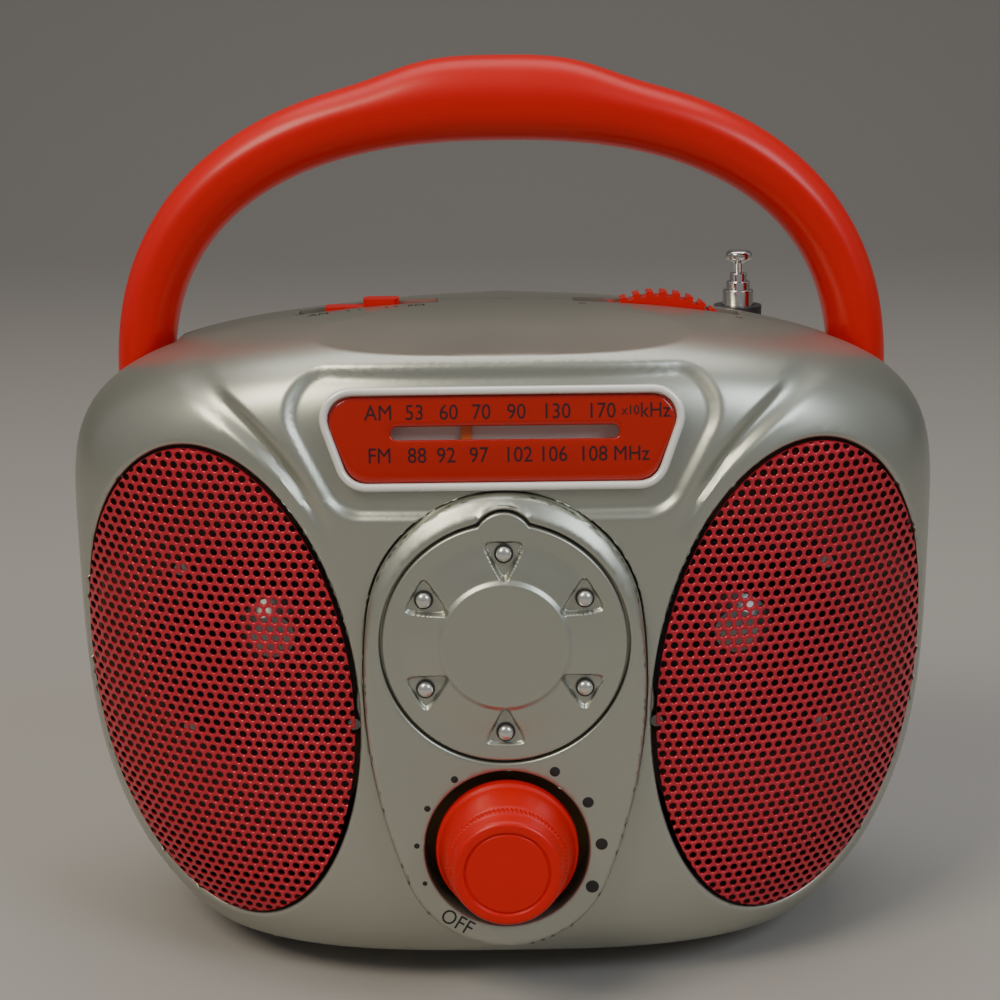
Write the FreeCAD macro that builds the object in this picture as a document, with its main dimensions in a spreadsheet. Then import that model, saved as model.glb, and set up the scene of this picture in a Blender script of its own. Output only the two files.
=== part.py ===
import FreeCAD, Part
import math
import os
import Sketcher
from FreeCAD import Placement, Rotation, Vector

# Portable AM/FM radio with two side speakers and a folding carry handle, in millimetres.
# +X is the listener's right, +Y goes to the back, +Z is up; the origin is the middle of the
# footprint on the table, and the front and rear shells meet in the plane Y = 0.

doc = FreeCAD.newDocument("portable_radio")
sheet = doc.addObject("Spreadsheet::Sheet", "sizes")

SIZES = [
    # the two shells
    ("body_width", 194.0, "widest section, across the speakers"),
    ("waist_height", 85.0, "height of the widest section"),
    ("crest_height", 145.6, "top of the shells at the parting plane"),
    ("front_depth", 48.0, "parting plane to the front face"),
    ("rear_depth", 46.0, "parting plane to the rear face"),
    ("shell_bottom", 8.0, "height of the flat underside of the shells"),
    ("wall", 2.4, "shell wall"),
    ("roof_slope", 12.0, "slope of the top towards the front, degrees"),
    ("roof_rise", 1.2, "where the sloping top would meet the parting plane, over the crest"),
    ("front_fall", 0.045, "how far the front face leans back, per millimetre of height"),
    ("plan_power", 3.0, "squareness of the horizontal sections"),
    # front panel with the hub plate and the volume knob
    ("panel_face", 49.5, "panel face in front of the parting plane, at the hub"),
    ("panel_height", 81.7, "height of the hub centre"),
    ("panel_lean", 3.0, "backward lean of the panel, degrees"),
    ("panel_top_radius", 28.5, "upper round of the egg outline"),
    ("panel_top_centre", 2.5, "centre of the upper round above the hub"),
    ("panel_low_radius", 22.5, "lower round of the egg outline"),
    ("panel_low_centre", 44.7, "centre of the lower round below the hub"),
    ("panel_side_radius", 120.0, "long arc of each side of the egg outline"),
    ("panel_plate", 3.0, "thickness of the panel's front plate"),
    ("panel_skirt", 8.0, "depth of the panel's side wall"),
    ("panel_flange", 2.2, "width of the flange behind the shell"),
    ("hub_radius", 25.2, "round hub plate"),
    ("hub_tab_radius", 6.0, "round key on top of the hub plate"),
    ("hub_tab_offset", 21.6, "key centre above the hub centre"),
    ("hub_gap", 0.6, "gap round the hub plate"),
    ("hub_seat", 1.8, "depth of the hub plate's recess"),
    ("hub_pad_radius", 13.5, "raised plain pad in the middle"),
    ("hub_pad_rise", 1.4, "height of that pad over the panel face"),
    ("stud_circle", 19.0, "radius of the circle of studs"),
    ("stud_radius", 1.65, "domed stud"),
    ("knob_drop", 44.8, "knob centre below the hub centre"),
    ("knob_hole_radius", 17.3, "hole for the volume knob"),
    ("knob_skirt_radius", 15.0, "widest part of the knob"),
    ("knob_grip_radius", 11.2, "front rim of the knob"),
    ("knob_reach", 12.9, "knob front over the panel face"),
    ("knob_back", 1.6, "knob rear behind the panel face"),
    ("knob_bore", 3.1, "bore of the knob"),
    ("shaft_radius", 3.0, "volume shaft"),
    ("fit_gap", 0.15, "gap between moulded parts that seat in one another"),
    ("run_gap", 0.3, "gap round moving parts"),
    ("turn_gap", 0.08, "radial gap in a turning fit"),
    # dial window
    ("window_face", 42.8, "lens face in front of the parting plane"),
    ("window_height", 123.4, "height of the lens centre"),
    ("window_lean", 10.0, "backward lean of the lens, degrees"),
    ("lens_top_half", 38.0, "half width of the lens at its top"),
    ("lens_low_half", 31.0, "half width of the lens at its bottom"),
    ("lens_half_tall", 9.2, "half height of the lens"),
    ("lens_round", 5.0, "corner radius of the lens"),
    ("lens_thick", 2.0, "lens thickness"),
    ("pointer_rest", 7.3, "pointer left of the middle at rest"),
    ("rail_radius", 1.0, "pointer rail"),
    ("plate_half", 30.0, "half width of the scale plate"),
    # speakers
    ("grille_offset", 62.1, "grille centre from the middle plane"),
    ("grille_height", 68.2, "height of the grille centre"),
    ("grille_half_wide", 30.3, "half width of the grille"),
    ("grille_half_tall", 52.3, "half height of the grille"),
    ("grille_tilt", 4.8, "outward lean of the grille's long axis, degrees"),
    ("grille_thick", 1.0, "grille sheet"),
    ("grille_gap", 1.0, "gap round the grille"),
    ("grille_ledge", 2.0, "ledge that the grille rests on"),
    ("speaker_offset", 53.0, "speaker axis from the middle plane"),
    ("speaker_height", 70.0, "height of the speaker axis"),
    ("speaker_radius", 28.0, "speaker frame"),
    ("speaker_face", 16.0, "speaker flange in front of the parting plane"),
    ("flange_thick", 1.2, "speaker flange"),
    ("cone_radius", 24.0, "speaker cone"),
    ("cap_radius", 10.0, "dust cap"),
    ("magnet_radius", 17.0, "speaker magnet"),
    ("magnet_thick", 9.0, "speaker magnet"),
    ("speaker_depth", 17.0, "flange to magnet"),
    ("baffle_thick", 2.0, "baffle board"),
    # carry handle
    ("handle_top", 198.0, "top of the handle over the table"),
    ("pivot_height", 116.0, "handle pivot"),
    ("pivot_back", 10.0, "handle pivot behind the parting plane"),
    ("pivot_radius", 3.0, "handle pivot pin"),
    ("handle_span", 79.6, "middle of the leg from the middle plane"),
    ("handle_leg", 12.6, "leg width across the body"),
    ("handle_deep", 18.0, "handle section front to back"),
    ("handle_grip", 15.0, "height of the grip section"),
    ("handle_hump", 3.5, "rise of the smooth hump in the middle of the grip"),
    ("hump_reach", 24.0, "half length of that hump"),
    ("notch_floor", 72.9, "handle notch floor from the middle plane"),
    # top controls
    ("wheel_radius", 21.5, "tuning wheel"),
    ("wheel_thick", 5.0, "tuning wheel"),
    ("wheel_offset", 34.6, "tuning wheel axis, right of the middle"),
    ("wheel_height", 125.5, "tuning wheel axis"),
    ("wheel_teeth", 44.0, "grip teeth on the wheel"),
    ("wheel_slot_half", 18.5, "half length of the wheel slot"),
    ("drum_radius", 13.0, "cord drum on the wheel"),
    ("crest_power", 5.2, "how squarely the sides turn into the crest"),
    ("base_depth", 20.0, "how far under the table the side curve would close"),
    ("base_power", 3.0, "how squarely the sides turn into the base"),
    ("front_middle", 0.53, "height of the deepest section, as a share of the waist height"),
    ("front_power", 14.0, "how squarely the front turns into the crest"),
    ("rear_power", 5.0, "how squarely the rear turns into the crest"),
    ("cut_reach", 12.0, "how far the panel and window cutters reach each way"),
    ("slot_reach", 14.0, "how far below the crest the slot cutters start"),
    ("post_radius", 2.6, "board post radius"),
    ("post_across", 21.0, "board posts each side of the middle"),
    ("post_low", 20.0, "lower board posts under the panel centre"),
    ("post_high", 14.0, "upper board posts over the panel centre"),
    ("board_wide", 48.0, "main board width"),
    ("board_tall", 84.0, "main board height"),
    ("board_foot", 60.0, "main board bottom under the panel centre"),
    ("dial_gap", 2.6, "room between the lens and the dial plate"),
    ("cell_pitch", 15.6, "spacing of the four cells"),
    ("tube_inset", 1.5, "how much higher each inner tube ends at the bottom"),
    ("tube_step", 1.97, "how much each inner tube shows at the top"),
    ("ferrite_drop", 12.0, "ferrite rod under the wheel axis"),
    ("ferrite_back", 7.5, "ferrite rod behind the tuner board"),
    ("seam_gap", 0.02, "gap between the front and rear shells at their seam"),
    ("band_slot_low", 45.0, "left end of the band slot"),
    ("band_slot_high", 14.0, "right end of the band slot"),
    ("band_cap_length", 24.6, "band switch cap"),
    ("band_cap_wide", 5.0, "band switch cap, front to back"),
    ("slot_wide", 6.2, "width of both top slots"),
    # antenna
    ("antenna_offset", 56.1, "antenna axis, right of the middle"),
    ("antenna_back", 24.0, "antenna axis behind the parting plane"),
    ("antenna_radius", 3.6, "outer tube of the antenna"),
    ("antenna_step", 0.8, "drop in radius from tube to tube"),
    ("antenna_foot", 44.0, "lower end of the retracted antenna"),
    ("antenna_top", 143.5, "top of the outer tube"),
    ("antenna_tip_radius", 3.1, "tip button"),
    # battery bay
    ("bay_half_wide", 33.0, "battery bay, half width"),
    ("bay_low", 18.0, "battery bay floor"),
    ("bay_high", 74.0, "battery bay ceiling"),
    ("bay_front", 19.0, "front wall of the bay behind the parting plane"),
    ("bay_back", 41.0, "open rear edge of the bay"),
    ("bay_wall", 1.6, "battery bay wall"),
    ("cell_radius", 7.2, "radius that each contact pair serves"),
    # boards
    ("board_thick", 1.6, "circuit boards"),
    ("board_back", 19.0, "main board behind the panel face"),
    ("tuner_back", 12.0, "tuner board behind the parting plane"),
    # base
    ("plinth_half_wide", 54.0, "plinth under the shells, half width"),
    ("plinth_half_deep", 24.0, "plinth under the shells, half depth"),
    ("plinth_low", 2.0, "underside of the plinth"),
    ("foot_radius", 6.0, "rubber foot"),
    ("foot_across", 40.0, "feet from the middle plane"),
    ("foot_along", 15.0, "feet from the parting plane"),
]

for row, (alias, value, note) in enumerate(SIZES, start=1):
    sheet.set("A%d" % row, alias)
    sheet.set("B%d" % row, repr(value))
    sheet.set("C%d" % row, note)
    sheet.setAlias("B%d" % row, alias)
doc.recompute()

NODES = []


def size(alias):
    """A driving dimension, as the sheet holds it."""
    return float(sheet.get(alias))


def bind(target, prop, formula):
    """Tie one property to a formula over the sheet; @ stands for the sheet."""
    target.setExpression(prop, str(formula).replace("@", "sizes."))


def keep(part, node):
    """Name a finished sub-part after its node."""
    part.Label = node
    NODES.append(part)
    return part


# ---------------------------------------------------------------- small modelling helpers

TURNS = {
    "Z": Rotation(),
    "Y": Rotation(Vector(1, 0, 0), -90),
    "X": Rotation(Vector(0, 1, 0), 90),
}


def put(part, at, turn=None):
    """Place a part at three formulas, with an optional fixed turn."""
    if turn is not None:
        part.Placement = Placement(Vector(), turn)
    for axis, formula in zip("xyz", at):
        bind(part, "Placement.Base." + axis, formula)
    return part


def box(name, low, extent):
    """A box from its low corner and its three lengths."""
    part = doc.addObject("Part::Box", name)
    for prop, formula in zip(("Length", "Width", "Height"), extent):
        bind(part, prop, formula)
    return put(part, low)


def rod(name, at, radius, length, axis="Z"):
    """A cylinder that starts at a point and runs along a positive axis."""
    part = doc.addObject("Part::Cylinder", name)
    bind(part, "Radius", radius)
    bind(part, "Height", length)
    return put(part, at, TURNS[axis])


def cut(name, base, tools):
    """The base less one tool or a group of tools."""
    part = doc.addObject("Part::Cut", name)
    part.Base = base
    part.Tool = tools[0] if len(tools) == 1 else fuse(name + "_tools", tools)
    return part


def fuse(name, pieces):
    """Pieces joined into one; solids that do not touch stay separate solids."""
    part = doc.addObject("Part::MultiFuse", name)
    part.Shapes = pieces
    return part


def fixed(name, shape):
    """A part whose shape is worked out here from the sheet."""
    part = doc.addObject("Part::Feature", name)
    part.Shape = shape
    return part


def body_of(name):
    return doc.addObject("PartDesign::Body", name)


def sketch_on(body, plane, name):
    """An empty sketch on one of the body's own origin planes."""
    sketch = body.newObject("Sketcher::SketchObject", name)
    support = [item for item in body.Origin.OriginFeatures if item.Role == plane][0]
    sketch.AttachmentSupport = [(support, "")]
    sketch.MapMode = "FlatFace"
    return sketch


def fix_point(sketch, geometry, point, across, up):
    """Hold one sketch point at two formulas, measured from the sketch origin."""
    for kind, formula in (("DistanceX", across), ("DistanceY", up)):
        start = sketch.getPoint(geometry, point)
        value = start.x if kind == "DistanceX" else start.y
        number = sketch.addConstraint(Sketcher.Constraint(kind, -1, 1, geometry, point, value))
        bind(sketch, "Constraints[%d]" % number, formula)


def number_of(formula):
    """The present number of a sheet formula."""
    names = {alias: size(alias) for alias, _, _ in SIZES}
    total = FreeCAD.Units.Quantity(formula_text(formula, names))
    return total.Value


def formula_text(formula, names):
    text = str(formula)
    for alias in sorted(names, key=len, reverse=True):
        text = text.replace("@" + alias, "(%r)" % names[alias])
    return text


def polygon(sketch, corners):
    """A closed outline whose corners are all held by formulas."""
    spots = [Vector(number_of(across), number_of(up), 0) for across, up in corners]
    count = len(spots)
    for index in range(count):
        sketch.addGeometry(Part.LineSegment(spots[index], spots[(index + 1) % count]), False)
    for index in range(count):
        sketch.addConstraint(
            Sketcher.Constraint("Coincident", index, 2, (index + 1) % count, 1))
    for index, (across, up) in enumerate(corners):
        fix_point(sketch, index, 1, across, up)


def circle(sketch, across, up, radius):
    """A circle held by formulas; returns nothing, the sketch keeps it."""
    centre = Vector(number_of(across), number_of(up), 0)
    number = sketch.addGeometry(Part.Circle(centre, Vector(0, 0, 1), number_of(radius)), False)
    fix_point(sketch, number, 3, across, up)
    held = sketch.addConstraint(Sketcher.Constraint("Radius", number, number_of(radius)))
    bind(sketch, "Constraints[%d]" % held, radius)


def revolved(name, corners, axis="V_Axis", plane="XZ_Plane"):
    """A body turned from a closed outline about a sketch axis."""
    body = body_of(name)
    sketch = sketch_on(body, plane, name + "_outline")
    polygon(sketch, corners)
    turn = body.newObject("PartDesign::Revolution", name + "_turn")
    turn.Profile = sketch
    turn.ReferenceAxis = (sketch, [axis])
    turn.Angle = 360
    body.Tip = turn
    return body


def mirrored(name, part):
    """The same part on the other side of the middle plane."""
    twin = doc.addObject("Part::Mirroring", name)
    twin.Source = part
    twin.Normal = Vector(1, 0, 0)
    return twin

# ---------------------------------------------------------------- shells

PANEL_TURN = Rotation(Vector(-1, 0, 0), size("panel_lean"))
WINDOW_TURN = Rotation(Vector(-1, 0, 0), size("window_lean"))


def on_panel(part):
    """Move a part that was drawn about the hub centre on to the leaning panel."""
    part.Placement = Placement(Vector(), PANEL_TURN)
    bind(part, "Placement.Base.y", "-@panel_face")
    bind(part, "Placement.Base.z", "@panel_height")
    bind(part, "Placement.Rotation.Angle", "@panel_lean")
    return part


def on_window(part):
    """Move a part that was drawn about the lens centre on to the leaning window."""
    part.Placement = Placement(Vector(), WINDOW_TURN)
    bind(part, "Placement.Base.y", "-@window_face")
    bind(part, "Placement.Base.z", "@window_height")
    bind(part, "Placement.Rotation.Angle", "@window_lean")
    return part


def half_width(height):
    """Half width of the shells at a height: a full lower curve and a tighter upper one."""
    waist = size("waist_height")
    if height > waist:
        share = (height - waist) / (size("crest_height") - waist)
        fall = share ** size("crest_power")
    else:
        share = (waist - height) / (waist + size("base_depth"))
        fall = share ** size("base_power")
    return size("body_width") / 2 * math.sqrt(max(1.0 - fall, 0.0))


def depth(height, full, power, lean):
    """Depth of a shell at a height: full low down, leaning back and rounded in above."""
    middle = size("front_middle") * size("waist_height")
    if height > middle:
        share = (height - middle) / (size("crest_height") + 1.4 - middle)
        fall = share ** power
        full = full - lean * (height - middle)
    else:
        share = (middle - height) / (middle + 5.0)
        fall = share ** 5.0
    return full * math.sqrt(max(1.0 - fall, 0.0))


def section(height, wide, deep, side, past):
    """A half section, |x/a|^n + (y/b)^2 = 1, drawn on past the parting plane if asked."""
    power = 2.0 / size("plan_power")
    steps = 16
    points = []
    for step in range(steps + 1):
        turn = math.pi * step / steps
        lean = math.cos(turn)
        across = math.copysign(abs(lean) ** power, lean)
        points.append(Vector(wide * across, side * deep * math.sin(turn), height))
    curve = Part.BSplineCurve()
    ahead = Vector(0, side, 0)
    curve.interpolate(Points=points, InitialTangent=ahead, FinalTangent=-ahead)
    edges = [curve.toShape()]
    corners = [points[-1], points[0]]
    if past:
        back = Vector(0, -side * past, 0)
        corners = [points[-1], points[-1] + back, points[0] + back, points[0]]
    for start, end in zip(corners, corners[1:]):
        edges.append(Part.LineSegment(start, end).toShape())
    return Part.Wire(edges)


def half_body(side, inset):
    """The solid of one shell half, drawn in by an inset; an inset one crosses the parting plane."""
    past = 1.0 if inset else 0.0
    low = size("shell_bottom")
    high = size("crest_height")
    full = size("front_depth") if side < 0 else size("rear_depth")
    power = size("front_power") if side < 0 else size("rear_power")
    lean = size("front_fall") if side < 0 else 0.0
    levels = 15
    wires = []
    for level in range(levels + 1):
        share = level / levels
        height = low + (high - low) * (1.0 - (1.0 - share ** 1.3) ** 2.2)
        wide = half_width(height) - inset
        deep = depth(height, full, power, lean) - inset
        moved = height
        if inset:
            moved = low + inset + (height - low) * (high - low - 2 * inset) / (high - low)
        wires.append(section(moved, max(wide, 5.0), max(deep, 3.5), side, past))
    solid = Part.makeLoft(wires, True, False)
    if side < 0:
        reach = 80.0
        fall = reach * math.tan(math.radians(size("roof_slope")))
        top = high + size("roof_rise") - inset
        corners = [(past, top), (0.0, top), (-reach, top - fall), (-reach, -10.0), (past, -10.0)]
        outline = [Vector(-150.0, y, z) for y, z in corners + corners[:1]]
        roof = Part.Face(Part.makePolygon(outline)).extrude(Vector(300.0, 0, 0))
        solid = solid.common(roof)
    return solid


def oval_bar(grow, right, near, far):
    """An upright oval on one speaker, drawn out from near to far behind the front."""
    across = size("grille_offset") * right
    long_half = size("grille_half_tall") + grow
    short_half = size("grille_half_wide") + grow
    oval = Part.Ellipse(Vector(0, 0, long_half), Vector(short_half, 0, 0), Vector())
    face = Part.Face(Part.Wire([oval.toShape()]))
    lean = Rotation(Vector(0, 1, 0), size("grille_tilt") * right)
    face.Placement = Placement(Vector(across, near, size("grille_height")), lean)
    return face.extrude(Vector(0, far - near, 0))


def egg_bar(grow, near, far):
    """The egg outline of the panel as a bar, in the panel's own frame: four tangent arcs."""
    upper = size("panel_top_radius") + grow
    lower = size("panel_low_radius") + grow
    side = size("panel_side_radius") + grow
    high = size("panel_top_centre")
    low = -size("panel_low_centre")
    rise = (high ** 2 - low ** 2 - (side - upper) ** 2 + (side - lower) ** 2) / (2 * (high - low))
    inward = math.sqrt((side - upper) ** 2 - (rise - high) ** 2)

    def joint(height, radius):
        """Where a side arc meets the round centred at that height."""
        ahead = Vector(inward, 0, height - rise).normalize()
        return Vector(0, near, height) + ahead * radius

    right_up = joint(high, upper)
    right_down = joint(low, lower)
    left_up = Vector(-right_up.x, near, right_up.z)
    left_down = Vector(-right_down.x, near, right_down.z)
    edges = [
        Part.Arc(left_up, Vector(0, near, high + upper), right_up).toShape(),
        Part.Arc(right_up, Vector(side - inward, near, rise), right_down).toShape(),
        Part.Arc(right_down, Vector(0, near, low - lower), left_down).toShape(),
        Part.Arc(left_down, Vector(inward - side, near, rise), left_up).toShape(),
    ]
    return Part.Face(Part.Wire(edges)).extrude(Vector(0, far - near, 0))


def lens_bar(grow, near, far):
    """The lens outline with its round corners as a bar, in the window's own frame."""
    tall = size("lens_half_tall")
    wide_top = size("lens_top_half") + grow
    wide_low = size("lens_low_half") + grow
    corners = [
        Vector(-wide_top, near, tall + grow),
        Vector(wide_top, near, tall + grow),
        Vector(wide_low, near, -tall - grow),
        Vector(-wide_low, near, -tall - grow),
    ]
    face = Part.Face(Part.makePolygon(corners + corners[:1]))
    bar = face.extrude(Vector(0, far - near, 0))
    upright = []
    for edge in bar.Edges:
        ends = [vertex.Point for vertex in edge.Vertexes]
        if abs(ends[0].y - ends[1].y) > 0.5 * (far - near):
            upright.append(edge)
    return bar.makeFillet(size("lens_round") + max(grow, 0.0), upright)


def front_outline():
    """The front shell as a hollow half with its panel, window and grille openings."""
    shell = half_body(-1, 0.0).cut(half_body(-1, size("wall")))
    panel = egg_bar(size("fit_gap"), -size("cut_reach"), size("cut_reach"))
    panel.Placement = Placement(
        Vector(0, -size("panel_face"), size("panel_height")), PANEL_TURN)
    lens = lens_bar(size("fit_gap"), -size("cut_reach"), size("cut_reach"))
    lens.Placement = Placement(
        Vector(0, -size("window_face"), size("window_height")), WINDOW_TURN)
    right_room = Part.makeBox(200, 100, 300, Vector(0, -90, -10))
    half = shell.cut(panel).cut(lens).common(right_room)
    inner = half_body(-1, size("grille_thick") + size("fit_gap"))
    half = half.cut(oval_bar(size("grille_gap"), 1, -60.0, -1.0).cut(inner))
    half = half.cut(oval_bar(-size("grille_ledge"), 1, -60.0, -1.0))
    whole = half.fuse(half.mirror(Vector(), Vector(1, 0, 0)))
    reach = 200.0
    front_room = Part.makeBox(2 * reach, reach, 2 * reach,
                              Vector(-reach, -reach - size("seam_gap"), -reach / 2))
    return whole.common(front_room)


def slot_bars():
    """The two slots in the crest: the band switch's and the wheel's."""
    wide = size("slot_wide")
    low = size("crest_height") - size("slot_reach")
    band = Part.makeBox(size("band_slot_low") - size("band_slot_high"), wide, 20,
                        Vector(-size("band_slot_low"), -wide / 2, low))
    wheel = Part.makeBox(2 * size("wheel_slot_half"), wide, 20,
                         Vector(size("wheel_offset") - size("wheel_slot_half"), -wide / 2, low))
    return [band, wheel]


def handle_room(prefix):
    """The corners that the folding handle needs at both shoulders of the rear shell."""
    low = "@pivot_height - @handle_deep / 2 - 1"
    right = box(prefix + "_right_room", ("@notch_floor", "0", low), (40, 60, 60))
    left = box(prefix + "_left_room", ("-@notch_floor - 40", "0", low), (40, 60, 60))
    return [right, left]


def make_front_shell():
    shape = front_outline()
    for bar in slot_bars():
        shape = shape.cut(bar)
    return keep(fixed("front_shell_body", shape), "front_shell")


def make_rear_shell():
    """Rear shell with closed handle notches, a battery opening and the antenna hole."""
    wall = size("wall")
    hollow = half_body(1, wall)
    low = size("pivot_height") - size("handle_deep") / 2 - 1 - wall
    for right in (-1, 1):
        start = size("notch_floor") - wall if right > 0 else -size("notch_floor") + wall - 60
        hollow = hollow.cut(Part.makeBox(60, 80, 80, Vector(start, -1, low)))
    shape = half_body(1, 0.0).cut(hollow)
    for bar in slot_bars():
        shape = shape.cut(bar)
    raw = fixed("rear_half", shape)
    hole = rod("antenna_hole", ("@antenna_offset", "@antenna_back", "@crest_height - 30"),
               "@antenna_radius + 2 + @fit_gap", 40)
    door = box("door_opening",
               ("-@bay_half_wide", "@bay_front + @run_gap", "@bay_low"),
               ("2 * @bay_half_wide", 40, "@bay_high - @bay_low"))
    pivots = rod("pivot_holes", ("-150", "@pivot_back", "@pivot_height"),
                 "@pivot_radius + @turn_gap", "300", "X")
    tools = handle_room("rear") + [hole, door, pivots]
    return keep(cut("rear_shell_body", raw, tools), "rear_shell")


# ---------------------------------------------------------------- front panel


def make_control_panel():
    """Egg-shaped panel: plate, side wall and a flange behind the shell."""
    plate = size("panel_plate")
    skirt = size("panel_skirt")
    shape = egg_bar(0.0, 0.0, skirt).cut(egg_bar(-2.0, plate, skirt + 1))
    rim = egg_bar(size("panel_flange"), skirt - 1.4, skirt).cut(egg_bar(-2.0, -1.0, skirt + 1))
    foot = -size("knob_drop") + size("knob_hole_radius")
    rim = rim.common(Part.makeBox(200, 50, 200, Vector(-100, -20, foot)))
    raw = on_panel(fixed("panel_raw", shape.fuse(rim)))
    hub = on_panel(fixed("panel_hub_seat", hub_outline(size("hub_gap"), -1.0, size("hub_seat"))))
    drop = size("knob_drop")
    hole = Part.makeCylinder(
        size("knob_hole_radius"), 30, Vector(0, -10, -drop), Vector(0, 1, 0))
    knob_hole = on_panel(fixed("panel_knob_hole", hole))
    posts = []
    for right in (-1, 1):
        for place in (-size("post_low"), size("post_high")):
            post = Part.makeCylinder(
                size("post_radius"), size("board_back") - plate,
                Vector(size("post_across") * right, plate, place),
                Vector(0, 1, 0))
            posts.append(on_panel(fixed("panel_post", post)))
    solid = fuse("panel_with_posts", [raw] + posts)
    return keep(cut("panel_body", solid, [hub, knob_hole]), "control_panel")


def hub_outline(grow, near, far):
    """The round hub with its key on top, as a bar in the panel's own frame."""
    disc = Part.makeCylinder(
        size("hub_radius") + grow, far - near, Vector(0, near, 0), Vector(0, 1, 0))
    key = Part.makeCylinder(
        size("hub_tab_radius") + grow, far - near, Vector(0, near, size("hub_tab_offset")),
        Vector(0, 1, 0))
    return disc.fuse(key)


def make_hub_plate():
    """Hub plate: flat rim, a shallow cone and a raised pad, with six stud pockets."""
    seat = size("hub_seat")
    rise = size("hub_pad_rise")
    pad = size("hub_pad_radius")
    base = hub_outline(0.0, 0.0, seat)
    cone = Part.makeCone(
        size("hub_radius") - 3.0, pad + 2.0, rise, Vector(0, 0, 0), Vector(0, -1, 0))
    shape = base.fuse(cone)
    for spot in stud_spots():
        pocket = Part.makeCylinder(
            size("stud_radius") + size("fit_gap"), 6, Vector(spot.x, -4, spot.z), Vector(0, 1, 0))
        shape = shape.cut(pocket)
    return keep(on_panel(fixed("hub_plate_body", shape)), "hub_plate")


def stud_spots():
    """Centres of the six studs, one straight up."""
    spots = []
    for number in range(6):
        turn = math.radians(90 + 60 * number)
        ring = size("stud_circle")
        spots.append(Vector(ring * math.cos(turn), 0, ring * math.sin(turn)))
    return spots


def make_hub_studs():
    """Six domed studs: a pin with a ball-shaped head."""
    studs = []
    radius = size("stud_radius")
    for spot in stud_spots():
        pin = Part.makeCylinder(radius, size("hub_seat"), Vector(spot.x, 0, spot.z),
                                Vector(0, 1, 0))
        dome = Part.makeSphere(radius, Vector(spot.x, 0, spot.z))
        studs.append(pin.fuse(dome).removeSplitter())
    return keep(on_panel(fixed("hub_studs_body", Part.makeCompound(studs))), "hub_studs")


def make_volume_knob():
    """Knob turned from one outline: skirt, cone, grip rim and a dished front."""
    reach = "@knob_reach"
    corners = [
        ("@knob_bore", "-@knob_back"),
        ("@knob_skirt_radius", "-@knob_back"),
        ("@knob_skirt_radius", "@knob_back"),
        ("@knob_grip_radius + 0.6", reach + " - 5"),
        ("@knob_grip_radius + 0.6", reach + " - 1"),
        ("@knob_grip_radius - 0.4", reach),
        ("@knob_grip_radius - 2.4", reach),
        ("@knob_grip_radius - 3", reach + " - 0.6"),
        ("0", reach + " - 0.6"),
        ("0", reach + " - 3"),
        ("@knob_bore", reach + " - 3"),
    ]
    body = revolved("knob", corners)
    return keep(turned_out(body, 0.0), "volume_knob")


def turned_out(body, behind):
    """Turn a part drawn about +Z so that +Z points out of the panel at the knob."""
    lean = size("panel_lean")
    body.Placement = Placement(Vector(), Rotation(Vector(1, 0, 0), 90.0 - lean))
    bind(body, "Placement.Rotation.Angle", "90 - @panel_lean")
    tilt = "@panel_lean * 1deg"
    bind(body, "Placement.Base.y",
         "-@panel_face - @knob_drop * sin(%s) + %r * cos(%s)" % (tilt, behind, tilt))
    bind(body, "Placement.Base.z",
         "@panel_height - @knob_drop * cos(%s) - %r * sin(%s)" % (tilt, behind, tilt))
    return body


def make_volume_shaft():
    """Round shaft that the knob is pushed on to; it turns in the control."""
    corners = [("0", "-@board_back + 2"), ("@shaft_radius", "-@board_back + 2"),
               ("@shaft_radius", "@knob_reach - 3"), ("0", "@knob_reach - 3")]
    return keep(turned_out(revolved("shaft", corners), 0.0), "volume_shaft")


def make_volume_control():
    """Round rotary control on the main board, with a bushing for the shaft."""
    bore = "@shaft_radius + @turn_gap"
    corners = [(bore, "-@board_back"), ("8.5", "-@board_back"), ("8.5", "-@board_back + 7"),
               ("4.6", "-@board_back + 7"), ("4.6", "-@knob_back - 2"), (bore, "-@knob_back - 2")]
    return keep(turned_out(revolved("control", corners), 0.0), "volume_control")


def make_main_board():
    """Main board behind the panel, on the panel's four posts."""
    back = size("board_back")
    wide = size("board_wide")
    board = Part.makeBox(wide, size("board_thick"), size("board_tall"),
                         Vector(-wide / 2, back, -size("board_foot")))
    raw = on_panel(fixed("main_board_raw", board))
    return keep(raw, "main_board")


def make_board_parts():
    """Amplifier chip, five capacitors and a transformer can behind the main board."""
    behind = size("board_back") + size("board_thick")
    pieces = [Part.makeBox(18, 3.5, 7, Vector(-12, behind, -40)),
              Part.makeBox(9, 8, 9, Vector(6, behind, 4))]
    for number in range(5):
        pieces.append(Part.makeCylinder(
            3.2, 9, Vector(-17 + 8.5 * number, behind, -10), Vector(0, 1, 0)))
    parts = on_panel(fixed("board_parts_body", Part.makeCompound(pieces)))
    return keep(parts, "board_components")


def make_board_screws():
    """Four pan-head screws that hold the main board to the panel's posts."""
    screws = []
    behind = size("board_back") + size("board_thick")
    for right in (-1, 1):
        for place in (-size("post_low"), size("post_high")):
            screws.append(Part.makeCylinder(
                2.6, 1.6, Vector(21.0 * right, behind, place), Vector(0, 1, 0)))
    return keep(on_panel(fixed("board_screws_body", Part.makeCompound(screws))), "board_screws")


# ---------------------------------------------------------------- dial


def make_dial_lens():
    shape = lens_bar(0.0, 0.0, size("lens_thick"))
    return keep(on_window(fixed("dial_lens_body", shape)), "dial_lens")


def plate_front():
    """Front of the scale plate behind the lens face."""
    return size("lens_thick") + size("dial_gap")


def rail_line(radius, low, length):
    """A round bar along the pointer rail, in the window's own frame."""
    return Part.makeCylinder(radius, length, Vector(low, plate_front() + 5, -3), Vector(1, 0, 0))


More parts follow.
